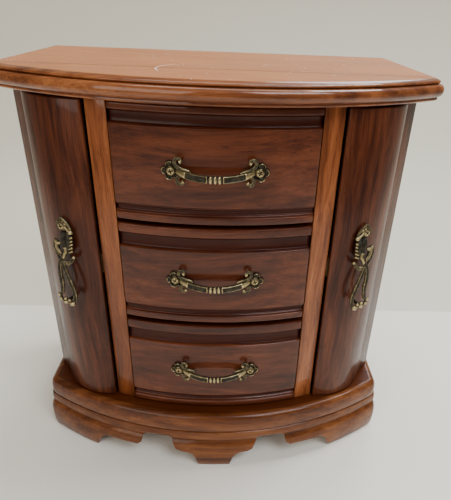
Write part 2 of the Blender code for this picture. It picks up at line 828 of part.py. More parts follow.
def make_door_pull(side, name):
    """A cast pull hung upright: a rosette, openwork leaves and a long open loop that stands on one foot."""
    bend = bend_about(DOOR_CENTRE, DOOR_RADIUS, DOOR_PULL_ANGLE, side)
    top = DOOR_PULL_SCREW_Z
    origin = (side * DOOR_PIVOT[0], DOOR_PIVOT[1], 0.0)
    centre = (0.0, top)
    plate = boss(
        centre, DOOR_PULL_PLATE_RADIUS, GAP, ROSETTE_FACE, bend, 20, ROSETTE_PETALS, ROSETTE_NOTCH
    )
    pull = new_object(name, plate, "antique_brass", origin)
    helpers = []
    for stroke, wide in DOOR_PULL_STROKES:
        path = [(u, door_pull_height(drop), top - drop) for u, drop in stroke]
        sizes = [(wide, 1.25)] * (len(path) - 1) + [(wide * 0.8, 1.1)]
        bar = swept(path, sizes, (0.0, 1.0, 0.0), bend, sides=8)
        helpers.append(new_object("helper", bar, "antique_brass"))
    face = DOOR_PULL_STANDOFF + 1.4
    for u in DOOR_PULL_KNOBS:
        centre = (u, top - DOOR_PULL_DROP + 0.5 + abs(u) * 0.25)
        low = GAP if u == 0.0 else face - 3.0
        knob = boss(centre, DOOR_PULL_KNOB_RADIUS, low, face, bend, sides=10)
        helpers.append(new_object("helper", knob, "antique_brass"))
    pull = combine(pull, helpers, "UNION")
    return combine(pull, [screw_hole((0.0, top), bend, -0.5, 5.0)], "DIFFERENCE")


# ---- drawers ----


def drawer_front_profile(foot, height, ledge_height, cove_height):
    """Radius and z up the face of a drawer front: ledge, cove, raised field, cove, ledge."""
    top = foot + height
    step = top - ledge_height
    field_top = step - cove_height
    ledge = BOW_RADIUS + 1.8
    cove = BOW_RADIUS - 0.9
    field = BOW_RADIUS + FIELD_PROUD
    return (
        (ledge - 1.4, foot),
        (ledge, foot + 1.4),
        (ledge, foot + 5.2),
        (ledge - 1.0, foot + 6.2),
        (cove, foot + 7.4),
        (cove + 0.4, foot + 10.0),
        (field - 0.9, foot + 11.4),
        (field, foot + 12.6),
        (field, field_top),
        (field - 0.9, field_top + 1.2),
        (cove + 0.4, field_top + 2.6),
        (cove, step - 3.2),
        (ledge - 1.0, step - 1.0),
        (ledge, step),
        (ledge, top - 1.2),
        (ledge - 1.2, top),
    )


def make_drawer(which, foot, height, ledge_height, cove_height):
    """One drawer: bowed front, two sides, back, bottom, felt lining, pull and its two screws."""
    profile = drawer_front_profile(foot, height, ledge_height, cove_height)
    block = bow_block(profile, FRONT_HALF_WIDTH, FRONT_BACK_Y)
    front = new_object(f"{which}_drawer_front", block, "drawer_wood")
    bend = drawer_bend()
    half = PULL_SCREW_SPACING / 2
    pull_z = foot + height * PULL_HEIGHT_SHARE
    holes = [screw_hole((side * half, pull_z), bend, -6.5, 3.0) for side in (-1, 1)]
    combine(front, holes, "DIFFERENCE")

    low_z = foot + BOX_ABOVE_FRONT_FOOT
    high_z = foot + height - BOX_BELOW_FRONT_TOP
    box_front_y = FRONT_BACK_Y + GAP
    outer, inner = DRAWER_BOX_HALF_WIDTH, DRAWER_BOX_HALF_WIDTH - DRAWER_WALL
    for side, word in ((-1, "left"), (1, "right")):
        low = (side * inner, box_front_y, low_z)
        high = (side * outer, DRAWER_BOX_BACK_Y, high_z)
        new_object(f"{which}_drawer_{word}_side", box(low, high), "inner_wood")
    reach = inner - GAP
    low = (-reach, DRAWER_BOX_BACK_Y - DRAWER_WALL, low_z)
    high = (reach, DRAWER_BOX_BACK_Y, high_z)
    new_object(f"{which}_drawer_back", box(low, high), "inner_wood")
    bottom_back_y = DRAWER_BOX_BACK_Y - DRAWER_WALL - GAP
    low = (-reach, box_front_y, low_z)
    high = (reach, bottom_back_y, low_z + DRAWER_BOTTOM_THICKNESS)
    new_object(f"{which}_drawer_bottom", box(low, high), "inner_wood")
    felt_z = low_z + DRAWER_BOTTOM_THICKNESS + GAP
    low = (-reach + GAP, box_front_y + GAP, felt_z)
    high = (reach - GAP, bottom_back_y - GAP, felt_z + LINING_THICKNESS)
    new_object(f"{which}_drawer_lining", box(low, high), "felt")

    make_drawer_pull(f"{which}_drawer_pull", pull_z)
    for side, word in ((-1, "left"), (1, "right")):
        centre = (side * half, pull_z)
        make_screw(f"{which}_drawer_{word}_screw", centre, bend, ROSETTE_FACE + GAP, (0.0, 0.0, 0.0))


def make_carcass():
    """Every fixed piece."""
    make_top()
    make_base_board()
    make_front_apron()
    make_back_apron()
    make_back_panel()
    make_shelf("lower_shelf", DRAWERS[1][1])
    make_shelf("upper_shelf", DRAWERS[2][1])
    for side, word in ((-1, "left"), (1, "right")):
        make_side_apron(side, f"apron_{word}")
        make_stile(side, f"{word}_stile")
        make_partition(side, f"{word}_partition")
        make_post(side, f"{word}_post")
        make_side_panel(side, f"{word}_side_panel")
        make_necklace_bar(side, f"{word}_necklace_bar")
        make_catch(side, f"{word}_magnet_catch")
        make_pivot_pin(side, True, f"{word}_upper_pivot_pin")
        make_pivot_pin(side, False, f"{word}_lower_pivot_pin")


def make_doors():
    """Both doors, each with its pull, screw and strike plate, mirror images of each other."""
    for side, word in ((-1, "left"), (1, "right")):
        make_door(side, f"{word}_door")
        make_door_pull(side, f"{word}_door_pull")
        bend = bend_about(DOOR_CENTRE, DOOR_RADIUS, DOOR_PULL_ANGLE, side)
        origin = (side * DOOR_PIVOT[0], DOOR_PIVOT[1], 0.0)
        make_screw(f"{word}_door_screw", (0.0, DOOR_PULL_SCREW_Z), bend, ROSETTE_FACE + GAP, origin)
        make_strike(side, f"{word}_strike_plate")


def main():
    """Builds the whole armoire."""
    clear_scene()
    make_carcass()
    make_doors()
    for drawer in DRAWERS:
        make_drawer(*drawer)


main()
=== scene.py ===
"""Finished look of a bow-front jewelry armoire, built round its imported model.

The chest stands on z = 0 and faces -Y. Shapes are worked out in millimetres and put into meshes in metres.
"""

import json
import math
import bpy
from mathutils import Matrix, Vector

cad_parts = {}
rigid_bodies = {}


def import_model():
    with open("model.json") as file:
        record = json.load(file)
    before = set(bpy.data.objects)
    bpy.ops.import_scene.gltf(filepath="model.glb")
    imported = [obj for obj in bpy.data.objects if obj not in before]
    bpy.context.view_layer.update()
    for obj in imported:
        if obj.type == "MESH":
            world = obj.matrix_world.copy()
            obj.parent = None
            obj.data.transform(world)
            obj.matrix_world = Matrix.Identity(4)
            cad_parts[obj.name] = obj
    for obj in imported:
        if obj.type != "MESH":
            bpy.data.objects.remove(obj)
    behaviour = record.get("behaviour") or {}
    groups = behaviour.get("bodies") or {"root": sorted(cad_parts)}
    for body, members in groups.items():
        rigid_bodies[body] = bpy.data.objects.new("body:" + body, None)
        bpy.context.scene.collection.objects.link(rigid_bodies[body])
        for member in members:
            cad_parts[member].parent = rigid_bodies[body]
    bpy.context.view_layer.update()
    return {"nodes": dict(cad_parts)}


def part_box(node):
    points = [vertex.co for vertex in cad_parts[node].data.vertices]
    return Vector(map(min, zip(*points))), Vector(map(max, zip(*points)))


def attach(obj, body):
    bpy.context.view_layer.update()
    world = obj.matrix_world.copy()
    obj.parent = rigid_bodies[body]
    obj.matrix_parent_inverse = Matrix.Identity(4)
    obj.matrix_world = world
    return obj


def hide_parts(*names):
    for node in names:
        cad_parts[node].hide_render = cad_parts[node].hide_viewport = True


bl_info = {
    "name": "Bow-front jewelry armoire",
    "version": (1, 0, 0),
    "blender": (4, 5, 0),
    "location": "3D View > Sidebar > Armoire",
    "description": "Moulded boards, curved doors, drawers, cast pulls and felt of a jewelry armoire",
    "category": "Add Mesh",
}

import bpy
import numpy as np
from bpy.props import FloatProperty, FloatVectorProperty, IntProperty, PointerProperty

for leftover in list(bpy.data.objects):
    bpy.data.objects.remove(leftover)

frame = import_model()

MM = 0.001
SIDES = ((-1.0, "left"), (1.0, "right"))
LEVELS = ("lower", "middle", "upper")

# Plan arcs of the chest, in millimetres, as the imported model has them.
BOW_CENTRE_Y = 160.5
BOW_RADIUS = 234.0
TOP_BOW_RADIUS = 247.5
BOARD_BOW_RADIUS = 247.7
TOP_HALF_WIDTH = 147.0
BOARD_HALF_WIDTH = 141.5
CORNER_RADIUS = 9.0
FIELD_PROUD = 2.2
DOOR_CENTRE = (84.761, -17.641)
DOOR_RADIUS = 44.518
DOOR_THICKNESS = 7.0
DOOR_FREE_EDGE = 0.9
DOOR_START = math.atan2(-62.0 + 17.641, 81.0 - 84.761)
DOOR_END = math.atan2(-38.1 + 17.641, 124.3 - 84.761)
DOOR_PULL_LEAN = math.radians(24.5)
DOOR_PULL_DROP = 58.0
DOOR_PULL_ROOT = 1.6
DOOR_PULL_STANDOFF = 8.4
SCREW_SPACING = 54.0
SCREW_SEAT = 2.6
SCREW_RADIUS = 2.3
SHARP_EDGE = math.radians(40)


# ---- sizes and colours a user may change ----


def length(name, description, default, low, high):
    """A size in millimetres."""
    text = f"{description}, in mm"
    return FloatProperty(name=name, description=text, default=default, min=low, max=high)


def power(name, description, default):
    """The power of a light."""
    return FloatProperty(name=name, description=description, default=default, min=0.0, unit="POWER")


def colour(name, description, default):
    """A linear colour."""
    return FloatVectorProperty(
        name=name, description=description, default=default, size=3, min=0.0, max=1.0, subtype="COLOR"
    )


class ArmoireSizes(bpy.types.PropertyGroup):
    """Small sizes of the finished surfaces, in millimetres."""

    board_edge: length("Board edge", "Rounding of the straight boards' edges", 0.7, 0.1, 2.0)
    door_edge: length("Door edge", "Rounding of the doors' upper and lower edges", 0.9, 0.1, 2.0)
    bar_half_height: length("Bar half height", "Half the height of a drawer pull's bar", 2.3, 1.0, 2.6)
    bar_projection: length("Bar projection", "How far a drawer pull's bar stands out", 10.4, 6.0, 10.8)
    bar_sag: length("Bar sag", "How far a drawer pull's bar dips between its screws", 2.4, 0.0, 4.0)
    rosette_radius: length("Rosette radius", "Radius of a pull's flower rosette", 6.5, 4.0, 7.0)
    felt_crown: length("Felt crown", "How much the felt lining swells in its middle", 0.5, 0.0, 1.0)
    petals: IntProperty(name="Petals", description="Petals of each rosette", default=5, min=3, max=9)


class ArmoireColours(bpy.types.PropertyGroup):
    """Stains and metals, each given as the colour between its darkest and lightest streaks."""

    door_stain: colour("Door stain", "Stain of the doors, posts, sides and back", (0.070, 0.0160, 0.0053))
    drawer_stain: colour("Drawer stain", "Stain of the drawer fronts", (0.080, 0.0175, 0.0052))
    frame_stain: colour("Frame stain", "Stain of the two stiles", (0.215, 0.0610, 0.0175))
    moulding_stain: colour("Moulding stain", "Stain of the top", (0.215, 0.0640, 0.0175))
    base_stain: colour("Base stain", "Stain of the plinth and the aprons", (0.142, 0.0415, 0.0100))
    bare_wood: colour("Bare wood", "Unstained wood inside", (0.420, 0.270, 0.140))
    brass: colour("Brass", "Raised parts of the cast pulls", (0.420, 0.330, 0.165))
    steel: colour("Steel", "Pivot pins and strike plates", (0.60, 0.58, 0.55))
    felt: colour("Felt", "Felt linings", (0.190, 0.010, 0.016))


class StageSettings(bpy.types.PropertyGroup):
    """Floor, lights and camera."""

    table_colour: colour("Table colour", "Colour of the floor under the chest", (0.93, 0.880, 0.785))
    wall_colour: colour("Wall colour", "Colour of the floor further back", (0.74, 0.695, 0.58))
    key_window: power("Key window", "Power of the window light at the front", 11.5)
    top_panel: power("Top panel", "Power of the overhead panel", 15.5)
    rear_window: power("Rear window", "Power of the rear window", 11.0)
    rear_panel: power("Rear panel", "Power of the panel that lights the wall", 16.0)
    fill_panel: power("Fill panel", "Power of the front fill", 7.0)
    room_strength: FloatProperty(
        name="Room", description="Strength of the light all round", default=0.25, min=0.0
    )
    focal_length: FloatProperty(
        name="Focal length", description="Lens of the camera", default=34.51, unit="CAMERA"
    )


def sizes():
    return bpy.context.scene.armoire_sizes


def colours():
    return bpy.context.scene.armoire_colours


# ---- shader maths ----


class Signal:
    """One output of a shader node. Arithmetic on it adds Math nodes."""

    def __init__(self, finish, socket):
        self.finish = finish
        self.socket = socket

    def maths(self, operation, *values):
        sockets = dict(enumerate(values))
        return self.finish.node("ShaderNodeMath", {"operation": operation}, sockets)

    def __add__(self, other):
        return self.maths("ADD", self, other)

    def __radd__(self, other):
        return self.maths("ADD", other, self)

    def __sub__(self, other):
        return self.maths("SUBTRACT", self, other)

    def __rsub__(self, other):
        return self.maths("SUBTRACT", other, self)

    def __mul__(self, other):
        return self.maths("MULTIPLY", self, other)

    def __neg__(self):
        return self.maths("MULTIPLY", self, -1.0)

    def __rmul__(self, other):
        return self.maths("MULTIPLY", other, self)

    def __pow__(self, other):
        return self.maths("POWER", self, other)

    def __abs__(self):
        return self.maths("ABSOLUTE", self)

    def above(self, low, high):
        """0 below low and 1 above high, rising smoothly between them."""
        settings = {"interpolation_type": "SMOOTHSTEP"}
        return self.finish.node("ShaderNodeMapRange", settings, {0: self, 1: low, 2: high})


class Finish:
    """A material being built on its Principled shader."""

    def __init__(self, name):
        self.material = bpy.data.materials.new(f"{name}_finish")
        self.material.use_nodes = True
        self.tree = self.material.node_tree
        self.shader = self.tree.nodes["Principled BSDF"]

    def node(self, kind, settings=None, sockets=None, output=0):
        """Adds one node: its settings first, then the values or links of its sockets."""
        made = self.tree.nodes.new(kind)
        for key, value in (settings or {}).items():
            if key == "stops":
                elements = made.color_ramp.elements
                while len(elements) < len(value):
                    elements.new(1.0)
                for element, (place, shade) in zip(elements, value):
                    element.position = place
                    element.color = (*shade, 1.0)
            else:
                setattr(made, key, value)
        for key, value in (sockets or {}).items():
            self.feed(self.input_of(made, key), value)
        outputs = {socket.identifier: socket for socket in made.outputs}
        found = outputs[output] if isinstance(output, str) else made.outputs[output]
        return Signal(self, found)

    def input_of(self, node, key):
        if isinstance(key, int):
            return node.inputs[key]
        by_identifier = {socket.identifier: socket for socket in node.inputs}
        return by_identifier.get(key) or node.inputs[key]

    def feed(self, socket, value):
        """Links a signal to a socket, or sets the socket's own value."""
        if isinstance(value, Signal):
            self.tree.links.new(value.socket, socket)
        elif socket.type == "RGBA" and len(value) == 3:
            socket.default_value = (*value, 1.0)
        else:
            socket.default_value = value

    def set(self, **values):
        """Sets or links the Principled shader's sockets; an underscore stands for a space."""
        for key, value in values.items():
            self.feed(self.shader.inputs[key.replace("_", " ")], value)

    def place(self):
        """Object coordinates, in metres."""
        return self.node("ShaderNodeTexCoord", output="Object")

    def vector(self, operation, *values):
        return self.node("ShaderNodeVectorMath", {"operation": operation}, dict(enumerate(values)))

    def split(self, vector):
        """The x, y and z of a vector."""
        return [self.node("ShaderNodeSeparateXYZ", None, {0: vector}, axis) for axis in range(3)]

    def noise(self, place, scale, detail, roughness=0.5, output=0):
        sockets = {"Vector": place, "Scale": scale, "Detail": detail, "Roughness": roughness}
        return self.node("ShaderNodeTexNoise", {"normalize": True}, sockets, output)

    def mix(self, share, first, second):
        """A blend of two colours."""
        settings = {"data_type": "RGBA", "blend_type": "MIX"}
        sockets = {"Factor_Float": share, "A_Color": first, "B_Color": second}
        return self.node("ShaderNodeMix", settings, sockets, "Result_Color")

    def ramp(self, value, stops):
        return self.node("ShaderNodeValToRGB", {"stops": stops}, {0: value})

    def attribute(self, name):
        return self.node("ShaderNodeAttribute", {"attribute_name": name}, output="Fac")

    def bump(self, height, distance, strength):
        sockets = {"Height": height, "Distance": distance, "Strength": strength}
        return self.node("ShaderNodeBump", None, sockets)


def shade(base, factor):
    """A colour times a factor, for the darker and lighter streaks of one stain."""
    factors = factor if isinstance(factor, tuple) else (factor,) * 3
    return tuple(min(1.0, c * f) for c, f in zip(base, factors))


def stained_wood(name, base, grain, worn_top=False, contrast=1.0, gloss=0.66, rub=0.45):
    """Lacquered wood.

    The grain is noise stretched along one axis: broad figure, fibres and short dark pores. Edges that the
    relief attribute marks as raised are rubbed paler, and hollows are darkened as painted shade.
    """
    finish = Finish(name)
    place = finish.place()
    wander = finish.noise(place, 7.0, 2.0, output=1)
    drift = finish.vector("SUBTRACT", wander, (0.5, 0.5, 0.5))
    drift = finish.vector("MULTIPLY", drift, (0.02, 0.02, 0.02))
    bent = finish.vector("ADD", place, drift)

    def stretched(across, along):
        scale = [across, across, across]
        scale[grain] = along
        return finish.vector("MULTIPLY", bent, tuple(scale))

    broad = finish.noise(stretched(55.0, 5.0), 1.0, 3.0, 0.55)
    figure = finish.noise(stretched(210.0, 13.0), 1.0, 5.0, 0.6)
    fibres = finish.noise(stretched(900.0, 34.0), 1.0, 3.0, 0.6)
    pores = finish.noise(stretched(1500.0, 95.0), 1.0, 2.0, 0.5).above(0.60, 0.70)
    streak = broad * 0.40 + figure * 0.42 + fibres * 0.18
    spread = 0.5 + (streak - 0.5) * (2.6 * contrast)
    stops = (
        (0.10, shade(base, (0.34, 0.27, 0.25))),
        (0.36, shade(base, (0.72, 0.66, 0.62))),
        (0.58, shade(base, (1.10, 1.12, 1.14))),
        (0.90, shade(base, (1.75, 2.05, 2.25))),
    )
    body = finish.ramp(spread, stops)
    body = finish.mix(pores * 0.55, body, shade(base, (0.22, 0.16, 0.15)))
    relief = finish.attribute("relief")
    patchy = finish.noise(place, 260.0, 3.0, 0.6)
    rubbed = (relief + (patchy - 0.5) * 0.9).above(0.55, 1.15)
    body = finish.mix(rubbed * rub, body, shade(base, (2.1, 2.6, 2.9)))
    # Painted shade: hollows and coves, where the relief is low, are darkened in colour as if shade fell in
    # them.
    sunk = (-relief).above(0.10, 0.8)
    body = finish.mix(sunk * 0.80, body, shade(base, (0.34, 0.17, 0.10)))
    smears = finish.noise(place, 38.0, 4.0, 0.62)
    roughness = 0.30 + smears * 0.18 + pores * 0.14 + rubbed * 0.12
    coat = gloss - smears * 0.20 - rubbed * 0.2 - sunk * 0.45
    height = fibres * 0.35 + figure * 0.5 - pores * 0.8
    if worn_top:
        body, roughness, coat, height = worn(finish, place, body, roughness, coat, height, base)
    orange_peel = finish.noise(place, 420.0, 2.0, 0.5)
    normal = finish.bump(height + orange_peel * 0.5, 0.00010, 0.55)
    finish.set(Base_Color=body, Roughness=roughness, Coat_Weight=coat, Normal=normal)
    finish.set(Coat_Roughness=0.06, Coat_IOR=1.42, IOR=1.45, Specular_IOR_Level=0.18)
    return finish.material


# In metres: the heights that the worn zone starts and is full at, and the scratch's centre and radius.
WORN_HEIGHTS = (0.3037, 0.3039)
SCRATCH_CENTRE = (-0.010, -0.037)
SCRATCH_RADIUS = 0.0286


def worn(finish, place, body, roughness, coat, height, base):
    """The handled upper face of the top: thin lacquer, scuffs, white specks and one curved scratch."""
    x, y, z = finish.split(place)
    face = z.above(*WORN_HEIGHTS)
    cloud = finish.noise(place, 24.0, 5.0, 0.65)
    thin = face * (0.40 + cloud * 0.55)
    body = finish.mix(thin, body, shade(base, (2.3, 2.9, 3.6)))
    sockets = {"Vector": place, "Scale": 190.0, "Randomness": 1.0}
    cells = finish.node("ShaderNodeTexVoronoi", {"feature": "F1"}, sockets)
    chance = finish.noise(place, 70.0, 2.0, 0.5).above(0.53, 0.62)
    specks = (1.0 - cells.above(0.07, 0.19)) * chance
    across, along = x - SCRATCH_CENTRE[0], y - SCRATCH_CENTRE[1]
    ring = abs((across**2.0 + along**2.0) ** 0.5 - SCRATCH_RADIUS)
    ends = (-0.027 - x).above(0.0, 0.003) * (y + 0.050).above(0.0, 0.002)
    bow = (1.0 - ring.above(0.00025, 0.0007)) * ends
    line = abs(y + 0.0127 + x * 0.18)
    ends = (x + 0.029).above(0.0, 0.003) * (0.03 - x).above(0.0, 0.03)
    line = (1.0 - line.above(0.00015, 0.0005)) * ends
    streaks = finish.noise(finish.vector("MULTIPLY", place, (60.0, 1100.0, 60.0)), 1.0, 2.0, 0.5)
    scuffs = streaks.above(0.64, 0.72) * chance
    marks = (specks * 0.9 + bow * 0.75 + line * 0.4 + scuffs * 0.35).above(0.0, 1.0) * face
    body = finish.mix(marks * 0.85, body, (0.80, 0.72, 0.64))
    roughness = roughness + face * 0.16 + marks * 0.3 + face * cloud * 0.12
    coat = coat - face * 0.66 - marks * 0.1
    return body, roughness, coat, height - marks * 0.5


def bare_wood(name, base):
    """Unfinished pale wood: soft fibres along y, with a dull open surface."""
    finish = Finish(name)
    place = finish.place()
    broad = finish.noise(finish.vector("MULTIPLY", place, (90.0, 6.0, 60.0)), 1.0, 4.0, 0.55)
    fibres = finish.noise(finish.vector("MULTIPLY", place, (900.0, 30.0, 900.0)), 1.0, 3.0, 0.6)
    streak = broad * 0.6 + fibres * 0.4
    dark, pale = shade(base, (0.62, 0.55, 0.46)), shade(base, (1.25, 1.3, 1.35))
    body = finish.ramp(streak, ((0.25, dark), (0.5, base), (0.75, pale)))
    relief = finish.attribute("relief")
    body = finish.mix(relief.above(0.3, 1.0) * 0.35, body, shade(base, (0.6, 0.52, 0.45)))
    finish.set(Base_Color=body, Roughness=0.56 + fibres * 0.22)
    finish.set(Normal=finish.bump(streak, 0.00022, 0.6))
    return finish.material


def aged_brass(name, base, bright=0.0):
    """Antiqued cast brass: pale polished crests, brown-green patina in the hollows, a sand-cast skin."""
    finish = Finish(name)
    place = finish.place()
    relief = finish.attribute("relief")
    blotch = finish.noise(place, 420.0, 4.0, 0.6)
    skin = finish.noise(place, 1900.0, 2.0, 0.5)
    rub = (relief + (blotch - 0.5) * 0.9 + bright).above(0.0, 0.95)
    patina = finish.mix(blotch.above(0.35, 0.65), (0.010, 0.008, 0.005), (0.045, 0.036, 0.018))
    body = finish.mix(rub, patina, base)
    crest = (relief + (skin - 0.5) * 0.5 + bright).above(0.7, 1.25)
    body = finish.mix(crest * 0.75, body, shade(base, (1.5, 1.55, 1.75)))
    roughness = 0.52 - rub * 0.24 + (skin - 0.5) * 0.18
    finish.set(Base_Color=body, Metallic=0.55 + rub * 0.45, Roughness=roughness)
    finish.set(Normal=finish.bump(blotch * 0.6 + skin * 0.5, 0.00016, 0.7))
    return finish.material


def plain_steel(name, base):
    """Turned steel with fine circumferential marks and a little dulling."""
    finish = Finish(name)
    place = finish.place()
    marks = finish.noise(finish.vector("MULTIPLY", place, (400.0, 400.0, 4200.0)), 1.0, 3.0, 0.5)
    dull = finish.noise(place, 300.0, 3.0, 0.6)
    body = finish.mix(dull.above(0.4, 0.7), base, shade(base, (0.60, 0.57, 0.53)))
    finish.set(Base_Color=body, Roughness=0.28 + marks * 0.22 + dull * 0.10)
    finish.set(Metallic=1.0, Normal=finish.bump(marks, 0.00005, 0.5))
    return finish.material


def felt_cloth(name, base):
    """Napped felt: matted fibre clumps, pale fluff and a soft sheen."""
    finish = Finish(name)
    place = finish.place()
    clumps = finish.noise(place, 650.0, 4.0, 0.65)
    nap = finish.noise(place, 2600.0, 3.0, 0.6)
    worn_patch = finish.noise(place, 28.0, 3.0, 0.5)
    stops = ((0.3, shade(base, 0.45)), (0.52, base), (0.72, shade(base, (1.8, 2.4, 2.2))))
    body = finish.ramp(clumps * 0.6 + nap * 0.4, stops)
    body = finish.mix(worn_patch.above(0.5, 0.75) * 0.25, body, shade(base, (1.6, 2.6, 2.4)))
    finish.set(Base_Color=body, Roughness=0.86 + nap * 0.12)
    finish.set(Normal=finish.bump(clumps * 0.5 + nap, 0.0006, 0.8))
    finish.set(Sheen_Weight=0.12, Sheen_Roughness=0.5, Specular_IOR_Level=0.2)
    return finish.material


# Each finish: its maker, the colour that it takes, and the maker's other values.
BASE_LOOK = {"contrast": 1.1, "gloss": 0.45, "rub": 0.3}
FINISHES = {
    "door_wood": (stained_wood, "door_stain", {"grain": 2, "contrast": 1.6, "gloss": 0.42, "rub": 0.25}),
    "drawer_wood": (stained_wood, "drawer_stain", {"grain": 0, "contrast": 1.25, "rub": 0.18}),
    "frame_wood": (stained_wood, "frame_stain", {"grain": 2, "contrast": 1.35, "gloss": 0.72}),
    "moulding_wood": (
        stained_wood,
        "moulding_stain",
        {"grain": 0, "worn_top": True, "contrast": 1.1, "gloss": 0.95, "rub": 0.3},
    ),
    "base_wood": (stained_wood, "base_stain", {"grain": 0, **BASE_LOOK}),
    "side_base_wood": (stained_wood, "base_stain", {"grain": 1, **BASE_LOOK}),
    "inner_wood": (bare_wood, "bare_wood", {}),
    "antique_brass": (aged_brass, "brass", {}),
    "screw_brass": (aged_brass, "brass", {"bright": 0.12}),
    "steel": (plain_steel, "steel", {}),
    "felt": (felt_cloth, "felt", {}),
}


def finish_named(name):
    """The material of one finish, made once."""
    maker, stain, values = FINISHES[name]
    base = tuple(getattr(colours(), stain))
    return bpy.data.materials.get(f"{name}_finish") or maker(name, base, **values)


# ---- shapes ----


def smooth_curve(knots, count):
    """Points at even steps along the Catmull-Rom curve through the knots."""
    knots = np.asarray(knots, float)
    padded = np.vstack([2 * knots[:1] - knots[1:2], knots, 2 * knots[-1:] - knots[-2:-1]])
    step = np.linspace(0, len(knots) - 1, count)
    i = np.minimum(step.astype(int), len(knots) - 2)
    f = (step - i)[:, None]
    a, b, c, d = padded[i], padded[i + 1], padded[i + 2], padded[i + 3]
    square = (2 * a - 5 * b + 4 * c - d) * f**2
    return 0.5 * (2 * b + (c - a) * f + square + (3 * b - a - 3 * c + d) * f**3)


def smoothstep(low, high, value):
    """0 below low and 1 above high, rising as 3t^2 - 2t^3 between them."""
    t = np.clip((value - low) / (high - low), 0, 1)
    return t * t * (3 - 2 * t)


def relief_along(profile, sharpness=0.8):
    """How raised each point of an outward-and-up profile is, from -1 in a hollow to 1 on an edge.

    It is the turning of the profile per millimetre, put through tanh and averaged over its neighbours.
    """
    step = np.gradient(profile, axis=0)
    angle = np.unwrap(np.arctan2(step[:, 1], step[:, 0]))
    pace = np.maximum(np.hypot(step[:, 0], step[:, 1]), 1e-6)
    raised = np.tanh(np.gradient(angle) / pace * sharpness)
    padded = np.concatenate([raised[:1], raised, raised[-1:]])
    return (padded[:-2] + 2 * padded[1:-1] + padded[2:]) / 4


def rounded_outline(corners, radius, steps=5):
    """A convex outline, anticlockwise, with each corner an arc, and how far round its arc each point is.

    The arc's centre lies inwards along both sides' normals. The second result is sin(pi t) along each arc.
    """
    corners = np.asarray(corners, float)
    radius = np.broadcast_to(np.asarray(radius, float), (len(corners),))
    before = corners - np.roll(corners, 1, axis=0)
    after = np.roll(corners, -1, axis=0) - corners
    before /= np.linalg.norm(before, axis=1)[:, None]
    after /= np.linalg.norm(after, axis=1)[:, None]
    cross = before[:, 0] * after[:, 1] - before[:, 1] * after[:, 0]
    turn = np.arctan2(cross, (before * after).sum(1))
    inward = np.stack([-before[:, 1], before[:, 0]], 1)
    centre = corners - before * (radius * np.tan(turn / 2))[:, None] + inward * radius[:, None]
    first = np.arctan2(-inward[:, 1], -inward[:, 0])
    t = np.linspace(0, 1, steps)
    angle = first[:, None] + turn[:, None] * t
    ray = np.stack([np.cos(angle), np.sin(angle)], -1)
    points = centre[:, None] + radius[:, None, None] * ray
    return points.reshape(-1, 2), np.tile(np.sin(np.pi * t), len(corners))


def outward_normals(outline):
    """Unit normals of an anticlockwise closed outline, from the points before and after each."""
    tangent = np.roll(outline, -1, axis=0) - np.roll(outline, 1, axis=0)
    normal = np.stack([tangent[:, 1], -tangent[:, 0]], 1)
    return normal / np.maximum(np.linalg.norm(normal, axis=1), 1e-9)[:, None]


def standing_board(outline, edge_relief, low, high, edge):
    """A plan outline stood up from low to high, with quarter-round upper and lower edges."""
    t = np.linspace(0, 0.5 * math.pi, 4)
    inset = edge * (1 - np.sin(t))
    rise = edge * (1 - np.cos(t))
    insets = np.concatenate([inset, inset[::-1]])
    heights = np.concatenate([low + rise, high - rise[::-1]])
    normal = outward_normals(outline)
    plan = outline[None] - insets[:, None, None] * normal[None]
    tall = np.broadcast_to(heights[:, None, None], (len(heights), len(outline), 1))
    raised = np.sin(2 * np.concatenate([t, t[::-1]]))
    relief = np.maximum(edge_relief[None], raised[:, None])
    return np.concatenate([plan, tall], -1), relief


def node_box(node):
    """The two corners of a node's box, in millimetres."""
    return [np.array(corner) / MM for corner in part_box(node)]


def board_like(node, edge):
    """A block with softened edges in the place of a straight node."""
    low, high = node_box(node)
    corners = [(low[0], low[1]), (high[0], low[1]), (high[0], high[1]), (low[0], high[1])]
    outline, raised = rounded_outline(corners, edge)
    return standing_board(outline, raised, low[2], high[2], edge)


def bow_board(half_width, radius, back_y, profile):
    """A bow-front board: each profile point (inset, z) gives a ring of front arc, corners, sides, back.

    The front arc shrinks about the bow's centre, the corner arcs about their own, and the back stays put.
    """
    corner_x = half_width - CORNER_RADIUS
    reach = radius - CORNER_RADIUS
    corner_y = BOW_CENTRE_Y - math.sqrt(reach**2 - corner_x**2)
    lean = math.asin(corner_x / reach)
    inset = profile[:, :1]
    bow = np.linspace(-lean, lean, 97)[None]
    front = np.stack([(radius - inset) * np.sin(bow), BOW_CENTRE_Y - (radius - inset) * np.cos(bow)], -1)
    turn = np.linspace(lean, 0.5 * math.pi, 13)[None, 1:]
    small = CORNER_RADIUS - inset
    corner = np.stack([corner_x + small * np.sin(turn), corner_y - small * np.cos(turn)], -1)
    depth = np.linspace(0, 1, 9)[None, 1:]
    side_x = np.broadcast_to(half_width - inset, (len(profile), 8))
    side = np.stack([side_x, np.broadcast_to(corner_y + (back_y - corner_y) * depth, side_x.shape)], -1)
    right = np.concatenate([corner, side], 1)
    left = right[:, ::-1] * np.array([-1.0, 1.0])
    plan = np.concatenate([front, right, left], 1)
    tall = np.broadcast_to(profile[:, 1][:, None, None], (*plan.shape[:2], 1))
    outward = np.stack([-profile[:, 0], profile[:, 1]], 1)
    relief = np.repeat(relief_along(outward)[:, None], plan.shape[1], 1)
    return np.concatenate([plan, tall], -1), relief


def bent(points, centre, radius, lean=0.0, side=1.0):
    """Wraps flat (u, n, z) points round an upright cylinder: u runs round it and n stands out from it."""
    angle = lean + points[..., 0] / radius
    reach = radius + points[..., 1]
    x = side * (centre[0] + reach * np.sin(angle))
    y = centre[1] - reach * np.cos(angle)
    return np.stack([x, y, points[..., 2]], -1)


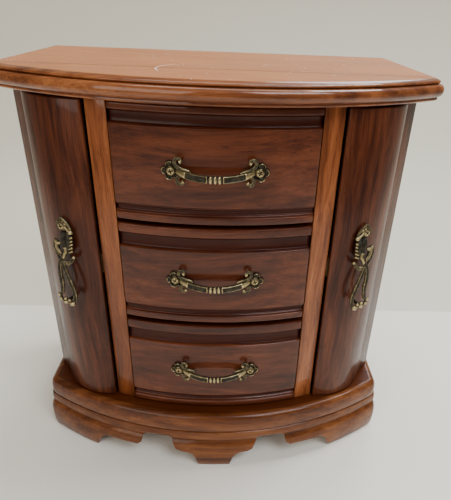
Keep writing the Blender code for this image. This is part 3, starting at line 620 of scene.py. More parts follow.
def on_drawer(points):
    return bent(points, (0.0, BOW_CENTRE_Y), BOW_RADIUS + FIELD_PROUD)


def on_door(points, side):
    return bent(points, DOOR_CENTRE, DOOR_RADIUS, DOOR_PULL_LEAN, side)


def swept(path, wide, thick, sides, groove=0.0, boxy=1.0):
    """A bar along (u, n, z) points: an ellipse square to the path, wide across the face and thick out.

    Cosine and sine are raised to boxy, so that a value under 1 gives a rounded rectangle. Each section may
    carry a sunk band of depth groove down its outer side.
    """
    along = np.gradient(path, axis=0)
    along /= np.linalg.norm(along, axis=1)[:, None]
    out = np.array([0.0, 1.0, 0.0])
    across = np.cross(along, out)
    across /= np.maximum(np.linalg.norm(across, axis=1), 1e-9)[:, None]
    lift = np.cross(across, along)
    angle = np.linspace(0, 2 * math.pi, sides, endpoint=False)[None]
    c = np.sign(np.cos(angle)) * np.abs(np.cos(angle)) ** boxy
    s = np.sign(np.sin(angle)) * np.abs(np.sin(angle)) ** boxy
    count = len(path)
    wide = np.broadcast_to(wide, (count,))[:, None]
    thick = np.broadcast_to(thick, (count,))[:, None]
    depth = np.broadcast_to(groove, (count,))[:, None]
    hollow = depth * smoothstep(0.80, 0.52, np.abs(c)) * (s > 0)
    a = wide * c
    b = thick * s - hollow
    points = path[:, None] + a[..., None] * across[:, None] + b[..., None] * lift[:, None]
    return points, np.clip(0.75 * s - 2.2 * hollow, -1, 1)


def rounded_ends(path, radius, start=True):
    """A factor along a path that closes its last end, or both, as half circles of the given radius."""
    pace = np.concatenate([[0], np.linalg.norm(np.diff(path, axis=0), axis=1)]).cumsum()
    near = np.ones(len(path))
    if start:
        near = np.minimum(near, pace / radius)
    near = np.minimum(near, (pace[-1] - pace) / radius)
    return np.sqrt(np.clip(1 - (1 - near) ** 2, 0.004, 1))


def turned(centre, heights, radii, sides):
    """A round form on the face at (u, z): each ring has a radius and a height n. Relief rises with n."""
    angle = np.linspace(0, 2 * math.pi, sides, endpoint=False)[None]
    radii = np.asarray(radii, float)[:, None]
    heights = np.asarray(heights, float)[:, None]
    u = centre[0] + radii * np.cos(angle)
    z = centre[1] + radii * np.sin(angle)
    n = np.broadcast_to(heights, u.shape)
    span = max(float(heights.max() - heights.min()), 1e-6)
    relief = np.clip(2 * (n - heights.min()) / span - 0.9, -1, 1)
    return np.stack([u, n, z], -1), relief


def rosette(centre, radius, petals, turn):
    """A cast flower disc.

    The rim follows radius (1 - 0.34 notch^1.3), where notch = 1 - |cos(petals a / 2)| is 1 in each cleft.
    Going in from the rim, the face rises to a raised outline, dips into the petal's hollow, rises to a ring
    round the screw and levels off as the screw's seat.
    """
    angle = np.linspace(0, 2 * math.pi, 161)[None, :-1]
    notch = 1 - np.abs(np.cos(0.5 * petals * (angle - turn)))
    rim = radius * (1 - 0.34 * notch**1.3)
    share = np.concatenate([[1.0, 1.0], np.linspace(1.0, 0.0, 44)])[:, None]
    r = rim * share
    edge = rim - r
    outline = 1.05 * np.exp(-(((edge - 0.75) / 0.50) ** 2))
    ring = 1.25 * np.exp(-(((r - 2.75) / 0.34) ** 2))
    cleft = 0.60 * np.exp(-(((notch - 1) / 0.22) ** 2)) * smoothstep(2.9, 3.4, r)
    inner = smoothstep(2.55, 2.2, r)
    face = 1.0 + np.maximum(outline, ring) - cleft
    face = face * (1 - inner) + 1.9 * inner
    face = face * smoothstep(-0.25, 0.55, edge) + 0.5 * (1 - smoothstep(-0.25, 0.55, edge))
    relief = np.clip((face - 1.62) * 2.0, -1, 1)
    face[0] = 0.3
    relief[0] = -1.0
    u = centre[0] + r * np.cos(angle)
    z = centre[1] + r * np.sin(angle)
    return np.stack([u, face, z], -1), relief


def screw_head(centre, turn):
    """A domed cross-head: a dome that falls as sqrt(1 - (r / R)^2), less a cross-shaped recess."""
    angle = np.linspace(0, 2 * math.pi, 96, endpoint=False)[None]
    share = np.concatenate([[1.0, 1.0], np.linspace(1.0, 0.0, 42)])[:, None]
    r = SCREW_RADIUS * share + 0 * angle
    u, z = r * np.cos(angle), r * np.sin(angle)
    dome = SCREW_SEAT + 0.30 + 0.62 * np.sqrt(np.clip(1 - (r / SCREW_RADIUS) ** 2, 0, 1))
    a = np.abs(u * math.cos(turn) + z * math.sin(turn))
    b = np.abs(z * math.cos(turn) - u * math.sin(turn))
    reach, half = 0.62 * SCREW_RADIUS, 0.125 * SCREW_RADIUS
    arm_a = (1 - smoothstep(half, half + 0.14, b)) * (1 - smoothstep(reach, reach + 0.22, a))
    arm_b = (1 - smoothstep(half, half + 0.14, a)) * (1 - smoothstep(reach, reach + 0.22, b))
    recess = np.maximum(arm_a, arm_b)
    n = dome - 0.62 * recess
    relief = np.clip(0.75 - 1.9 * recess - 0.5 * (r / SCREW_RADIUS) ** 6, -1, 1)
    n[0] = SCREW_SEAT
    return np.stack([centre[0] + u, n, centre[1] + z], -1), relief


# A scroll of a drawer pull, as (inwards from the screw, away from the bar).
SCROLL_KNOTS = (
    *((11.0, 0.3), (8.6, 1.2), (5.6, 2.2), (3.3, 4.1), (2.7, 6.4)),
    *((3.7, 8.3), (5.6, 8.3), (6.3, 7.0), (5.2, 6.2)),
)


def scroll_path(side, up, centre_z):
    """The scroll on one side of a screw, which rises off the face as it curls. The lower one is smaller."""
    flat = smooth_curve(SCROLL_KNOTS, 84)
    t = np.linspace(0, 1, len(flat))
    reach, shift = (1.0, 0.0) if up > 0 else (0.86, 1.2)
    u = side * (SCREW_SPACING / 2 - flat[:, 0] - shift)
    return np.stack([u, 2.6 + 1.6 * t, centre_z + up * reach * flat[:, 1]], -1)


# ---- pieces ----


def skin(rings, relief):
    """Points, quads, end caps and relief of a closed skin through rings, facing outwards.

    If the volume under the faces comes out negative, every face is turned round.
    """
    rows, columns = rings.shape[:2]
    points = rings.reshape(-1, 3)
    index = np.arange(rows * columns).reshape(rows, columns)
    after = np.roll(index, -1, axis=1)
    quads = np.stack([index[:-1], after[:-1], after[1:], index[1:]], -1).reshape(-1, 4)
    caps = [index[0, ::-1], index[-1]]
    corners = points[quads]
    volume = np.einsum("ij,ij->", corners[:, 0], np.cross(corners[:, 1], corners[:, 2]))
    volume += np.einsum("ij,ij->", corners[:, 0], np.cross(corners[:, 2], corners[:, 3]))
    for cap in caps:
        fan = points[cap]
        volume += np.einsum("j,ij->", fan[0], np.cross(fan[1:-1], fan[2:]))
    if volume < 0:
        quads = quads[:, ::-1]
        caps = [cap[::-1] for cap in caps]
    return points, quads, caps, relief.reshape(-1)


def add_piece(name, skins, finish, body, node):
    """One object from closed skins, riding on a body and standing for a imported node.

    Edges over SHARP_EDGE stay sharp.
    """
    points, faces, relief, start = [], [], [], 0
    for rings, raised in skins:
        found, quads, caps, marks = skin(rings, np.broadcast_to(raised, rings.shape[:2]))
        points.append(found)
        relief.append(marks)
        faces += (quads + start).tolist() + [(cap + start).tolist() for cap in caps]
        start += len(found)
    mesh = bpy.data.meshes.new(name)
    mesh.from_pydata(np.concatenate(points) * MM, [], faces)
    write_relief(mesh, np.concatenate(relief))
    mesh.shade_smooth()
    mesh.set_sharp_from_angle(angle=SHARP_EDGE)
    mesh.materials.append(finish_named(finish))
    mesh.update()
    piece = bpy.data.objects.new(name, mesh)
    bpy.context.scene.collection.objects.link(piece)
    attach(piece, body)
    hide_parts(node)
    return piece


def write_relief(mesh, relief):
    """Puts the relief of each vertex in the mesh, for the finishes to read."""
    values = relief.astype(np.float32)
    mesh.attributes.new("relief", "FLOAT", "POINT").data.foreach_set("value", values)


def dress_node(node, finish):
    """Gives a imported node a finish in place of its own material."""
    mesh = frame["nodes"][node].data
    mesh.materials.clear()
    mesh.materials.append(finish_named(finish))


# Edges of the top and of the base board, as (inset, height above the foot).
TOP_EDGE = (
    *((4.6, 0.0), (3.5, 0.5), (3.1, 1.2), (3.2, 2.3), (1.8, 2.9), (0.5, 4.4), (0.0, 6.4), (0.5, 8.6)),
    *((2.0, 10.1), (4.0, 10.5), (3.5, 11.0), (3.05, 11.7), (3.4, 12.4), (4.4, 13.0), (6.4, 13.75)),
    *((8.0, 13.97), (10.0, 14.0)),
)
BOARD_EDGE = (
    *((4.4, 0.0), (2.4, 0.25), (1.3, 1.2), (0.4, 3.4), (0.0, 7.5), (0.25, 11.5), (1.1, 14.6)),
    *((2.6, 16.3), (4.2, 16.9), (6.5, 17.0)),
)


def edge_profile(knots, foot, count):
    """A smooth (inset, z) profile through knots measured up from a foot."""
    return smooth_curve(np.asarray(knots) + (0.0, foot), count)


class ARMOIRE_OT_top_and_base(bpy.types.Operator):
    """Make the moulded top, the base board and the aprons with their feet."""

    bl_idname = "armoire.top_and_base"
    bl_label = "Top and base"

    def execute(self, context):
        low, high = node_box("top_slab")
        profile = edge_profile(TOP_EDGE, low[2], 90)
        slab = bow_board(TOP_HALF_WIDTH, TOP_BOW_RADIUS, high[1], profile)
        add_piece("moulded_top", [slab], "moulding_wood", "carcass", "top_slab")
        low, high = node_box("base_board")
        profile = edge_profile(BOARD_EDGE, low[2], 60)
        board, relief = bow_board(BOARD_HALF_WIDTH, BOARD_BOW_RADIUS, high[1], profile)
        # The shelf behind the edge is marked as a hollow, so the finish paints it darker as painted shade
        # under the chest's front.
        relief[-2:] = -0.7
        add_piece("plinth_board", [(board, relief)], "base_wood", "carcass", "base_board")
        for node in ("apron_front", "apron_back"):
            softened_copy(node, "base_wood")
        for node in ("apron_left", "apron_right"):
            softened_copy(node, "side_base_wood")
        return {"FINISHED"}


def softened_copy(node, finish):
    """A merged copy of a node with its corners rounded by a Bevel, standing for the node."""
    mesh = frame["nodes"][node].data.copy()
    mesh.name = f"{node}_softened"
    piece = bpy.data.objects.new(mesh.name, mesh)
    bpy.context.scene.collection.objects.link(piece)
    weld = piece.modifiers.new("weld", "WELD")
    weld.merge_threshold = 2e-6
    flat = piece.modifiers.new("flat", "DECIMATE")
    flat.decimate_type = "DISSOLVE"
    flat.angle_limit = math.radians(0.6)
    bevel = piece.modifiers.new("bevel", "BEVEL")
    bevel.width = sizes().board_edge * MM
    bevel.segments = 3
    bevel.limit_method = "ANGLE"
    bevel.angle_limit = math.radians(38)
    graph = bpy.context.evaluated_depsgraph_get()
    softened = bpy.data.meshes.new_from_object(piece.evaluated_get(graph))
    piece.modifiers.clear()
    piece.data = softened
    softened.shade_smooth()
    softened.set_sharp_from_angle(angle=math.radians(42))
    mark_corners(softened)
    softened.materials.clear()
    softened.materials.append(finish_named(finish))
    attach(piece, "carcass")
    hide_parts(node)
    return piece


def mark_corners(mesh):
    """Writes the relief of a softened mesh: 0 on a flat, more where a vertex's normal leans off a face."""
    count = len(mesh.vertices)
    normals = np.empty(count * 3, np.float32)
    mesh.vertices.foreach_get("normal", normals)
    faces = len(mesh.polygons)
    face_normals = np.empty(faces * 3, np.float32)
    totals = np.empty(faces, np.int32)
    corners = np.empty(len(mesh.loops), np.int32)
    mesh.polygons.foreach_get("normal", face_normals)
    mesh.polygons.foreach_get("loop_total", totals)
    mesh.loops.foreach_get("vertex_index", corners)
    owner = np.repeat(np.arange(faces), totals)
    agreement = (normals.reshape(-1, 3)[corners] * face_normals.reshape(-1, 3)[owner]).sum(1)
    least = np.ones(count, np.float32)
    np.minimum.at(least, corners, agreement)
    write_relief(mesh, np.clip((1 - least) * 3.0, 0, 1))


class ARMOIRE_OT_frame(bpy.types.Operator):
    """Make the stiles, posts, sides, back, partitions and shelves."""

    bl_idname = "armoire.frame"
    bl_label = "Stiles, posts and panels"

    def execute(self, context):
        edge = sizes().board_edge
        for side, word in SIDES:
            low, high = node_box(f"{word}_stile")
            outline = rounded_outline(stile_corners(), edge)
            skins = [turned_to(standing_board(*outline, low[2], high[2], edge), side)]
            add_piece(f"{word}_front_stile", skins, "frame_wood", "carcass", f"{word}_stile")
            outline = rounded_outline(POST_CORNERS, POST_RADII, 9)
            skins = [turned_to(standing_board(*outline, low[2], high[2], 0.3), side)]
            add_piece(f"{word}_corner_post", skins, "door_wood", "carcass", f"{word}_post")
            add_board(f"{word}_side_panel", 0.25, "door_wood")
            add_board(f"{word}_partition", 0.25, "inner_wood")
            catch = f"{word}_magnet_catch"
            add_piece(f"{catch}_block", [board_like(catch, 1.2)], "inner_wood", "carcass", catch)
        add_piece("back_board", [board_like("back_panel", edge)], "door_wood", "carcass", "back_panel")
        for node in ("lower_shelf", "upper_shelf"):
            add_board(node, 0.4, "inner_wood")
        return {"FINISHED"}


def add_board(node, edge, finish, body="carcass"):
    """A straight board for a straight node, with edges of the given radius."""
    add_piece(f"{node}_board", [board_like(node, edge)], finish, body, node)


# Plan of the right-hand post, and the radius of each of its corners.
POST_CORNERS = ((125.3, -33.4), (137.0, -19.0), (137.0, -12.0), (121.0, -12.0), (121.0, -31.0))
POST_RADII = (0.5, 3.1, 0.1, 0.1, 0.4)
STILE_INNER_X = 65.5
STILE_OUTER_X = 79.3
STILE_BACK_Y = -52.0


def stile_corners():
    """Plan of the right-hand stile, whose face meets the bow at both edges."""
    across = np.array([STILE_INNER_X, STILE_OUTER_X])
    face = BOW_CENTRE_Y - np.sqrt(BOW_RADIUS**2 - across**2)
    back = [(STILE_OUTER_X, STILE_BACK_Y), (STILE_INNER_X, STILE_BACK_Y)]
    return np.concatenate([np.stack([across, face], 1), back])


def turned_to(shape, side):
    """A right-hand shape given to the side that +1 or -1 names."""
    rings, relief = shape
    return rings * np.array([side, 1.0, 1.0]), relief


def door_outline():
    """The door in plan: outer arc, half-round rear edge about the pivot, inner arc, two free-edge arcs."""
    cx, cy = DOOR_CENTRE
    inner_radius = DOOR_RADIUS - DOOR_THICKNESS
    small = DOOR_FREE_EDGE

    def ray(radius, angle):
        return np.stack([cx + radius * np.cos(angle), cy + radius * np.sin(angle)], -1)

    def corner(radius, sweep):
        centre = ray(radius, DOOR_START + small / radius)
        return centre + small * np.stack([np.cos(sweep), np.sin(sweep)], -1)

    outer = ray(DOOR_RADIUS, np.linspace(DOOR_START + small / (DOOR_RADIUS - small), DOOR_END, 64))
    pivot = ray(DOOR_RADIUS - DOOR_THICKNESS / 2, DOOR_END)
    turn = np.linspace(DOOR_END, DOOR_END + math.pi, 19)[1:-1]
    rear = pivot + DOOR_THICKNESS / 2 * np.stack([np.cos(turn), np.sin(turn)], -1)
    inner = ray(inner_radius, np.linspace(DOOR_END, DOOR_START + small / (inner_radius + small), 64))
    quarter = np.linspace(DOOR_START - 0.5 * math.pi, DOOR_START, 7)
    behind = corner(inner_radius + small, quarter[1:] + 1.5 * math.pi)
    ahead = corner(DOOR_RADIUS - small, quarter[:-1])
    outline = np.concatenate([outer, rear, inner, behind, ahead])
    raised = np.zeros(len(outline))
    raised[-12:] = 0.9
    raised[len(outer) : len(outer) + len(rear)] = 0.25
    return outline, raised


class ARMOIRE_OT_doors(bpy.types.Operator):
    """Make the two curved doors."""

    bl_idname = "armoire.doors"
    bl_label = "Doors"

    def execute(self, context):
        for side, word in SIDES:
            low, high = node_box(f"{word}_door")
            door = standing_board(*door_outline(), low[2], high[2], sizes().door_edge)
            skins = [turned_to(door, side)]
            add_piece(f"{word}_curved_door", skins, "door_wood", f"{word}_door_body", f"{word}_door")
        return {"FINISHED"}


def drawer_face(foot, head, ledge_height, cove_height):
    """(stand-off from the bow, z) up a drawer front: ledge, bead, cove, raised field, cove, bead, ledge."""
    step = head - ledge_height
    top = step - cove_height
    lower = (
        *((-1.0, 0.0), (0.9, 0.35), (1.75, 1.5), (1.8, 4.6), (1.4, 5.5), (0.35, 5.9), (0.3, 6.5)),
        *((-0.6, 7.3), (-0.9, 8.4), (-0.5, 10.0), (0.5, 10.9), (1.1, 11.1), (1.3, 11.7), (2.05, 12.3)),
        *((2.2, 13.2), (2.2, 18.0), (2.2, 26.0)),
    )
    field = ((2.2, -10.0), (2.2, -4.0), (2.2, -0.9), (2.0, -0.2), (1.0, 0.3), (-0.3, 0.7))
    cove = (
        (-0.9, top + 0.25 * cove_height),
        (-1.0, step - 0.45 * cove_height),
        (-0.6, step - 0.22 * cove_height),
    )
    bead = ((0.3, step - 0.9), (1.4, step - 0.5), (1.8, step + 0.1), (1.8, 0.5 * (step + head)))
    ledge = ((1.6, head - 0.7), (0.9, head - 0.2), (-0.6, head))
    knots = np.concatenate([np.add(lower, (0, foot)), np.add(field, (0, top)), cove, bead, ledge])
    return smooth_curve(knots, 8 * (len(knots) - 1) + 1)


# The height of each drawer's upper ledge, and of the cove under it, in millimetres.
LEDGES = {"lower": (6.4, 10.6), "middle": (5.8, 10.6), "upper": (3.8, 8.6)}


def bowed_front(profile, half_width, back_y):
    """A drawer front: the profile stood on the bow at stations across it, with both ends softened square.

    The front y at (x, r) is the bow centre's y less sqrt(r^2 - x^2). The last three stations at each end
    draw the profile in by 0, 0.15 and 0.5 mm along its own normals.
    """
    tangent = np.gradient(profile, axis=0)
    normal = np.stack([tangent[:, 1], -tangent[:, 0]], 1)
    normal /= np.linalg.norm(normal, axis=1)[:, None]
    middle = np.linspace(-half_width + 0.5, half_width - 0.5, 61)
    x = np.concatenate([[-half_width, -half_width + 0.15], middle, [half_width - 0.15, half_width]])
    inset = np.concatenate([[0.5, 0.15], np.zeros(61), [0.15, 0.5]])
    shrunk = profile[None] - inset[:, None, None] * normal[None]
    radius = BOW_RADIUS + shrunk[..., 0]
    y = BOW_CENTRE_Y - np.sqrt(radius**2 - x[:, None] ** 2)
    front = np.stack([np.broadcast_to(x[:, None], y.shape), y, shrunk[..., 1]], -1)
    back = np.stack([x, np.full(len(x), back_y), np.full(len(x), profile[-1, 1])], -1)
    floor = np.stack([x, np.full(len(x), back_y), np.full(len(x), profile[0, 1])], -1)
    rings = np.concatenate([front, back[:, None], floor[:, None]], 1)
    # The parts of the profile set back from the bow get a low relief, which the wood finish paints darker
    # as painted shade in the coves.
    hollow = smoothstep(0.6, -0.3, profile[:, 0])
    raised = np.concatenate([np.clip(relief_along(profile, 0.9) - 0.9 * hollow, -1, 1), [0.0, 0.0]])
    relief = np.repeat(raised[None], len(x), 0)
    relief[[0, 1, -2, -1]] = np.maximum(relief[[0, 1, -2, -1]], 0.7)
    return rings, relief


class ARMOIRE_OT_drawers(bpy.types.Operator):
    """Make the three bow-front drawers with their boxes."""

    bl_idname = "armoire.drawers"
    bl_label = "Drawers"

    def execute(self, context):
        for level in LEVELS:
            body = f"{level}_drawer"
            node = f"{level}_drawer_front"
            low, high = node_box(node)
            front = bowed_front(drawer_face(low[2], high[2], *LEDGES[level]), high[0], high[1])
            add_piece(f"{level}_bowed_front", [front], "drawer_wood", body, node)
            for part in ("left_side", "right_side", "back", "bottom"):
                add_board(f"{level}_drawer_{part}", 0.6, "inner_wood", body)
        return {"FINISHED"}


def felt_pad(node, crown):
    """A felt pad: a rounded rectangle, whose top rises by crown (1 - a^4)(1 - b^4) with faint ripples."""
    low, high = node_box(node)
    middle, half = (low + high) / 2, (high - low) / 2
    angle = np.linspace(0, 2 * math.pi, 160, endpoint=False)[None]
    share = np.concatenate([[0.985, 1.0, 1.0, 0.992], np.linspace(0.975, 0.0, 40)])[:, None]
    c, s = np.cos(angle), np.sin(angle)
    square = np.abs(c) ** 14 + np.abs(s) ** 14
    a = share * c / square ** (1 / 14)
    b = share * s / square ** (1 / 14)
    x, y = middle[0] + half[0] * a, middle[1] + half[1] * b
    swell = crown * (1 - a**4) * (1 - b**4)
    ripple = 0.05 * np.sin(x * 0.31 + 0.7 * np.sin(y * 0.17)) * np.sin(y * 0.23)
    thick = high[2] - low[2]
    z = low[2] + thick * (1 - 0.38) + swell + ripple
    z[0] = low[2]
    z[1] = low[2] + 0.25 * thick
    z[2] = low[2] + 0.45 * thick
    z[3] = low[2] + 0.57 * thick
    return np.stack([x, y, z], -1), np.zeros(x.shape)


class ARMOIRE_OT_linings(bpy.types.Operator):
    """Make the felt pads in the drawers."""

    bl_idname = "armoire.linings"
    bl_label = "Felt linings"

    def execute(self, context):
        for level in LEVELS:
            node = f"{level}_drawer_lining"
            shape = felt_pad(node, sizes().felt_crown)
            pad = add_piece(f"{level}_felt_pad", [shape], "felt", f"{level}_drawer", node)
        return {"FINISHED"}


def pull_bar(centre_z):
    """The bar of a drawer pull, on a flat face.

    It stands out as (1 - t^2)^0.7 and dips as 1 - t^2 between its ends. Its front has a sunk panel each
    side of three rings, between raised rims.
    """
    reach = SCREW_SPACING / 2 - 4.2
    t = np.linspace(-1, 1, 261)
    u = reach * t
    n = 1.7 + (sizes().bar_projection - 3.6) * (1 - t * t) ** 0.7
    z = centre_z - sizes().bar_sag * (1 - t * t)
    path = np.stack([u, n, z], -1)
    away = np.abs(u)
    rings = sum(np.exp(-(((u - place) / 0.88) ** 2)) for place in (-2.6, 0.0, 2.6))
    collar = np.exp(-(((away - 4.8) / 0.5) ** 2)) + np.exp(-(((away - 17.8) / 0.6) ** 2))
    core = smoothstep(4.9, 4.1, away)
    wide = sizes().bar_half_height * (1 - 0.26 * core + 0.38 * rings * core + 0.06 * collar)
    wide = wide * (1 - 0.34 * smoothstep(15.0, reach, away))
    thick = 1.55 * (1 - 0.22 * core + 0.34 * rings * core + 0.10 * collar)
    panel = smoothstep(4.9, 5.6, away) * smoothstep(17.6, 16.8, away)
    skin_points, relief = swept(path, wide, thick, 48, groove=0.85 * panel, boxy=0.7)
    dark = core * (1 - rings) * 1.3
    bright = core * rings * 0.5 + collar * 0.3
    return skin_points, np.clip(relief - dark[:, None] + bright[:, None], -1, 1)


def scroll(side, up, centre_z):
    """One scroll of a drawer pull, ending in a small round head."""
    path = scroll_path(side, up, centre_z)
    t = np.linspace(0, 1, len(path))
    head = np.exp(-(((t - 0.95) / 0.045) ** 2))
    radius = (1.25 - 0.20 * t + 0.75 * head) * rounded_ends(path, 1.5, start=False)
    groove = 0.25 * smoothstep(0.1, 0.25, t) * smoothstep(0.88, 0.80, t)
    rings, relief = swept(path, radius, radius * 0.95, 22, groove)
    return rings, np.clip(relief + 0.35 * head[:, None], -1, 1)


class ARMOIRE_OT_drawer_pulls(bpy.types.Operator):
    """Make the cast pulls of the drawers."""

    bl_idname = "armoire.drawer_pulls"
    bl_label = "Drawer pulls"

    def execute(self, context):
        half = SCREW_SPACING / 2
        for level in LEVELS:
            centre_z = pull_height(level)
            shapes = [pull_bar(centre_z)]
            for side in (-1, 1):
                turn = 0.0 if side > 0 else math.pi
                place = (side * half, centre_z)
                shapes.append(rosette(place, sizes().rosette_radius, sizes().petals, turn))
                shapes += [scroll(side, up, centre_z) for up in (-1, 1)]
            skins = [(on_drawer(rings), relief) for rings, relief in shapes]
            body = f"{level}_drawer"
            add_piece(f"{level}_cast_pull", skins, "antique_brass", body, f"{body}_pull")
        return {"FINISHED"}


def pull_height(level):
    """The height of a drawer pull's screws."""
    return sum(node_box(f"{level}_drawer_left_screw"))[2] / 2


def door_screw_height(word):
    """The height of a door pull's screw."""
    return sum(node_box(f"{word}_door_screw"))[2] / 2


def door_pull_height(drop):
    """How far the door pull stands out at a drop below its screw: a quarter sine down to its foot."""
    share = np.clip(np.asarray(drop, float) / DOOR_PULL_DROP, 0, 1)
    return DOOR_PULL_ROOT + (DOOR_PULL_STANDOFF - DOOR_PULL_ROOT) * np.sin(0.5 * math.pi * share)


def strand(knots, wide, beads=(), groove=0.0, lift=0.0, tone=0.0):
    """One cast strand of a door pull, through (u, drop) knots; u runs towards the outer side of the chest.

    wide holds half widths along it, and beads its (place, height, spread) swellings. lift stands it off its
    neighbours, and tone darkens or brightens it.
    """
    return {"knots": knots, "wide": wide, "beads": beads, "groove": groove, "lift": lift, "tone": tone}


def door_stroke(top, knots, wide, beads, groove, lift, tone):
    """The skin of one strand, for a screw at the height given as top."""
    count = 16 * len(knots)
    flat = smooth_curve(knots, count)
    path = np.stack([flat[:, 0], door_pull_height(flat[:, 1]) + lift, top - flat[:, 1]], -1)
    t = np.linspace(0, 1, count)
    swell = np.ones(count)
    for place, height, spread in beads:
        swell = swell + height * np.exp(-(((t - place) / spread) ** 2))
    half = np.interp(t, np.linspace(0, 1, len(wide)), wide)
    reach = half * swell * rounded_ends(path, min(wide) * 1.2)
    rings, relief = swept(path, reach, 1.1 * reach, 18, groove)
    return rings, np.clip(relief + tone + 0.6 * (swell[:, None] - 1), -1, 1)


def door_knob(u, drop, top, radius, foot=None):
    """A round knob of the door pull: rings at sin and cos of a half turn, with a short neck to its foot."""
    a = np.linspace(-0.5 * math.pi, 0.5 * math.pi, 15)
    middle = float(door_pull_height(drop)) + 0.4
    heights = middle + radius * np.sin(a)
    radii = np.maximum(radius * np.cos(a), 0.05)
    if foot is not None:
        heights = np.concatenate([[foot, middle - radius], heights[4:]])
        radii = np.concatenate([[1.25, 1.1], radii[4:]])
    return turned((u, top - drop), heights, radii, 28)


DOOR_STRANDS = (
    # The head's curl, and the two edges of the leaf that comes down from it.
    strand(((3.0, 2.6), (3.6, -0.4), (1.9, -3.6), (-0.3, -6.2)), (0.8, 1.1, 0.7), groove=0.25, lift=0.2),
    strand(
        ((-0.3, -6.2), (-3.3, -3.4), (-5.4, -0.4), (-6.7, 2.6)),
        (0.7, 0.9, 0.9),
        groove=0.2,
        lift=0.2,
        tone=0.1,
    ),
    strand(((-1.8, -0.4), (-3.6, 1.2), (-5.0, 2.4), (-6.4, 3.4)), (0.7, 1.0, 1.3), lift=0.5),
    # The stem, and the hollow leaf behind the ribs.
    strand(
        ((-0.2, 3.6), (-1.0, 8.0), (-1.8, 13.0), (-2.0, 20.5)), (1.7, 2.2, 2.0, 1.2), lift=-0.5, tone=-1.3
    ),
    strand(
        ((-2.8, 3.8), (-4.6, 7.0), (-5.0, 12.0), (-4.0, 19.5)), (1.3, 2.3, 2.4, 1.2), lift=-0.7, tone=-1.4
    ),
    strand(((0.4, 4.2), (0.2, 7.0), (-1.0, 9.4), (-3.2, 10.2)), (1.0, 0.9, 0.6), tone=-0.6),
    # The curl under the stem, and the inner leaf with its bright tip.
    strand(
        ((-0.8, 15.2), (-2.6, 15.0), (-3.1, 17.2), (-2.0, 19.6), (-1.0, 23.0)),
        (0.8, 1.1, 1.2, 0.9),
        lift=0.5,
    ),
    strand(
        ((-0.4, 25.4), (-3.2, 25.6), (-6.2, 24.0), (-8.1, 20.9)),
        (1.0, 1.5, 1.5, 1.0),
        ((0.20, 0.30, 0.06), (0.42, 0.30, 0.06)),
        groove=0.25,
        lift=0.3,
    ),
    # The outer leaf: its forked bright crest and its dim outer edge.
    strand(((6.3, 10.2), (4.6, 11.7), (2.6, 12.5), (0.8, 11.6)), (0.8, 1.4, 1.4, 0.7), lift=0.4),
    strand(((4.2, 12.2), (3.9, 14.8), (2.5, 17.6), (0.2, 19.6)), (1.2, 1.5, 1.3, 0.9), lift=0.3, tone=-0.1),
    strand(
        ((6.3, 10.4), (6.7, 13.6), (5.8, 17.2), (4.2, 20.8), (2.2, 24.6)), (0.9, 1.1, 1.1, 0.9), tone=-0.5
    ),
    strand(((5.0, 19.0), (2.6, 20.0), (0.2, 21.6)), (0.8, 1.0, 0.8), tone=-0.3),
    # The two long strands, each with a sunk line down it, and the link between their feet.
    strand(
        (
            *((-0.6, 22.4), (1.6, 25.6), (2.2, 30.0), (2.1, 36.0)),
            *((1.4, 41.0), (1.4, 46.5), (2.3, 50.2), (4.4, 52.4)),
        ),
        (1.2, 1.35, 1.3, 1.1),
        ((0.53, 0.18, 0.02), (0.58, 0.18, 0.02)),
        groove=0.5,
        lift=0.3,
        tone=0.1,
    ),
    strand(
        (
            *((2.0, 23.0), (0.2, 26.4), (-1.3, 30.5), (-3.5, 36.8)),
            *((-5.0, 41.5), (-6.3, 46.5), (-6.7, 52.0), (-5.6, 56.0)),
        ),
        (1.1, 1.3, 1.3, 1.2),
        ((0.50, 0.18, 0.02), (0.55, 0.18, 0.02)),
        groove=0.5,
        tone=0.15,
    ),
    strand(
        ((4.4, 52.4), (3.7, 55.2), (1.4, 56.8), (-1.4, 57.2), (-4.4, 57.0), (-5.8, 55.6)),
        (0.9, 1.0, 0.9),
        tone=-0.3,
    ),
)
# (u, drop, radius) of the knobs, the number of ribs, and the step from one rib to the next.
DOOR_KNOBS = (
    (-6.6, 3.6, 1.7),
    (-8.2, 20.8, 1.1),
    (4.7, 52.2, 1.35),
    (3.6, 55.3, 1.3),
    (0.2, 54.2, 1.25),
    (-2.5, 55.0, 1.15),
    (-4.5, 57.4, 1.8),
)
RIB_COUNT = 5
RIB_STEP = 2.4


def door_pull_shapes(top):
    """Every strand, rib and knob of one door pull, for a screw at the height given as top."""
    shapes = [rosette((0.0, top), 4.2, 5, 0.5 * math.pi)]
    strands = list(DOOR_STRANDS)
    for k in range(RIB_COUNT):
        drop = 7.6 + RIB_STEP * k
        knots = ((-4.8, drop + 0.7), (-6.3, drop), (-8.0, drop - 1.0))
        strands.append(strand(knots, (0.5, 0.7, 0.95), lift=0.7, tone=0.1))
    shapes += [door_stroke(top, **made) for made in strands]
    shapes += [door_knob(u, drop, top, radius) for u, drop, radius in DOOR_KNOBS]
    shapes.append(door_knob(0.2, DOOR_PULL_DROP - 0.9, top, 1.4, 0.3))
    return shapes


class ARMOIRE_OT_door_pulls(bpy.types.Operator):
    """Make the cast openwork pulls of the doors."""

    bl_idname = "armoire.door_pulls"
    bl_label = "Door pulls"

    def execute(self, context):
        for side, word in SIDES:
            shapes = door_pull_shapes(door_screw_height(word))
            skins = [(on_door(rings, side), relief) for rings, relief in shapes]
            node = f"{word}_door_pull"
            add_piece(f"{word}_cast_door_pull", skins, "antique_brass", f"{word}_door_body", node)
        return {"FINISHED"}


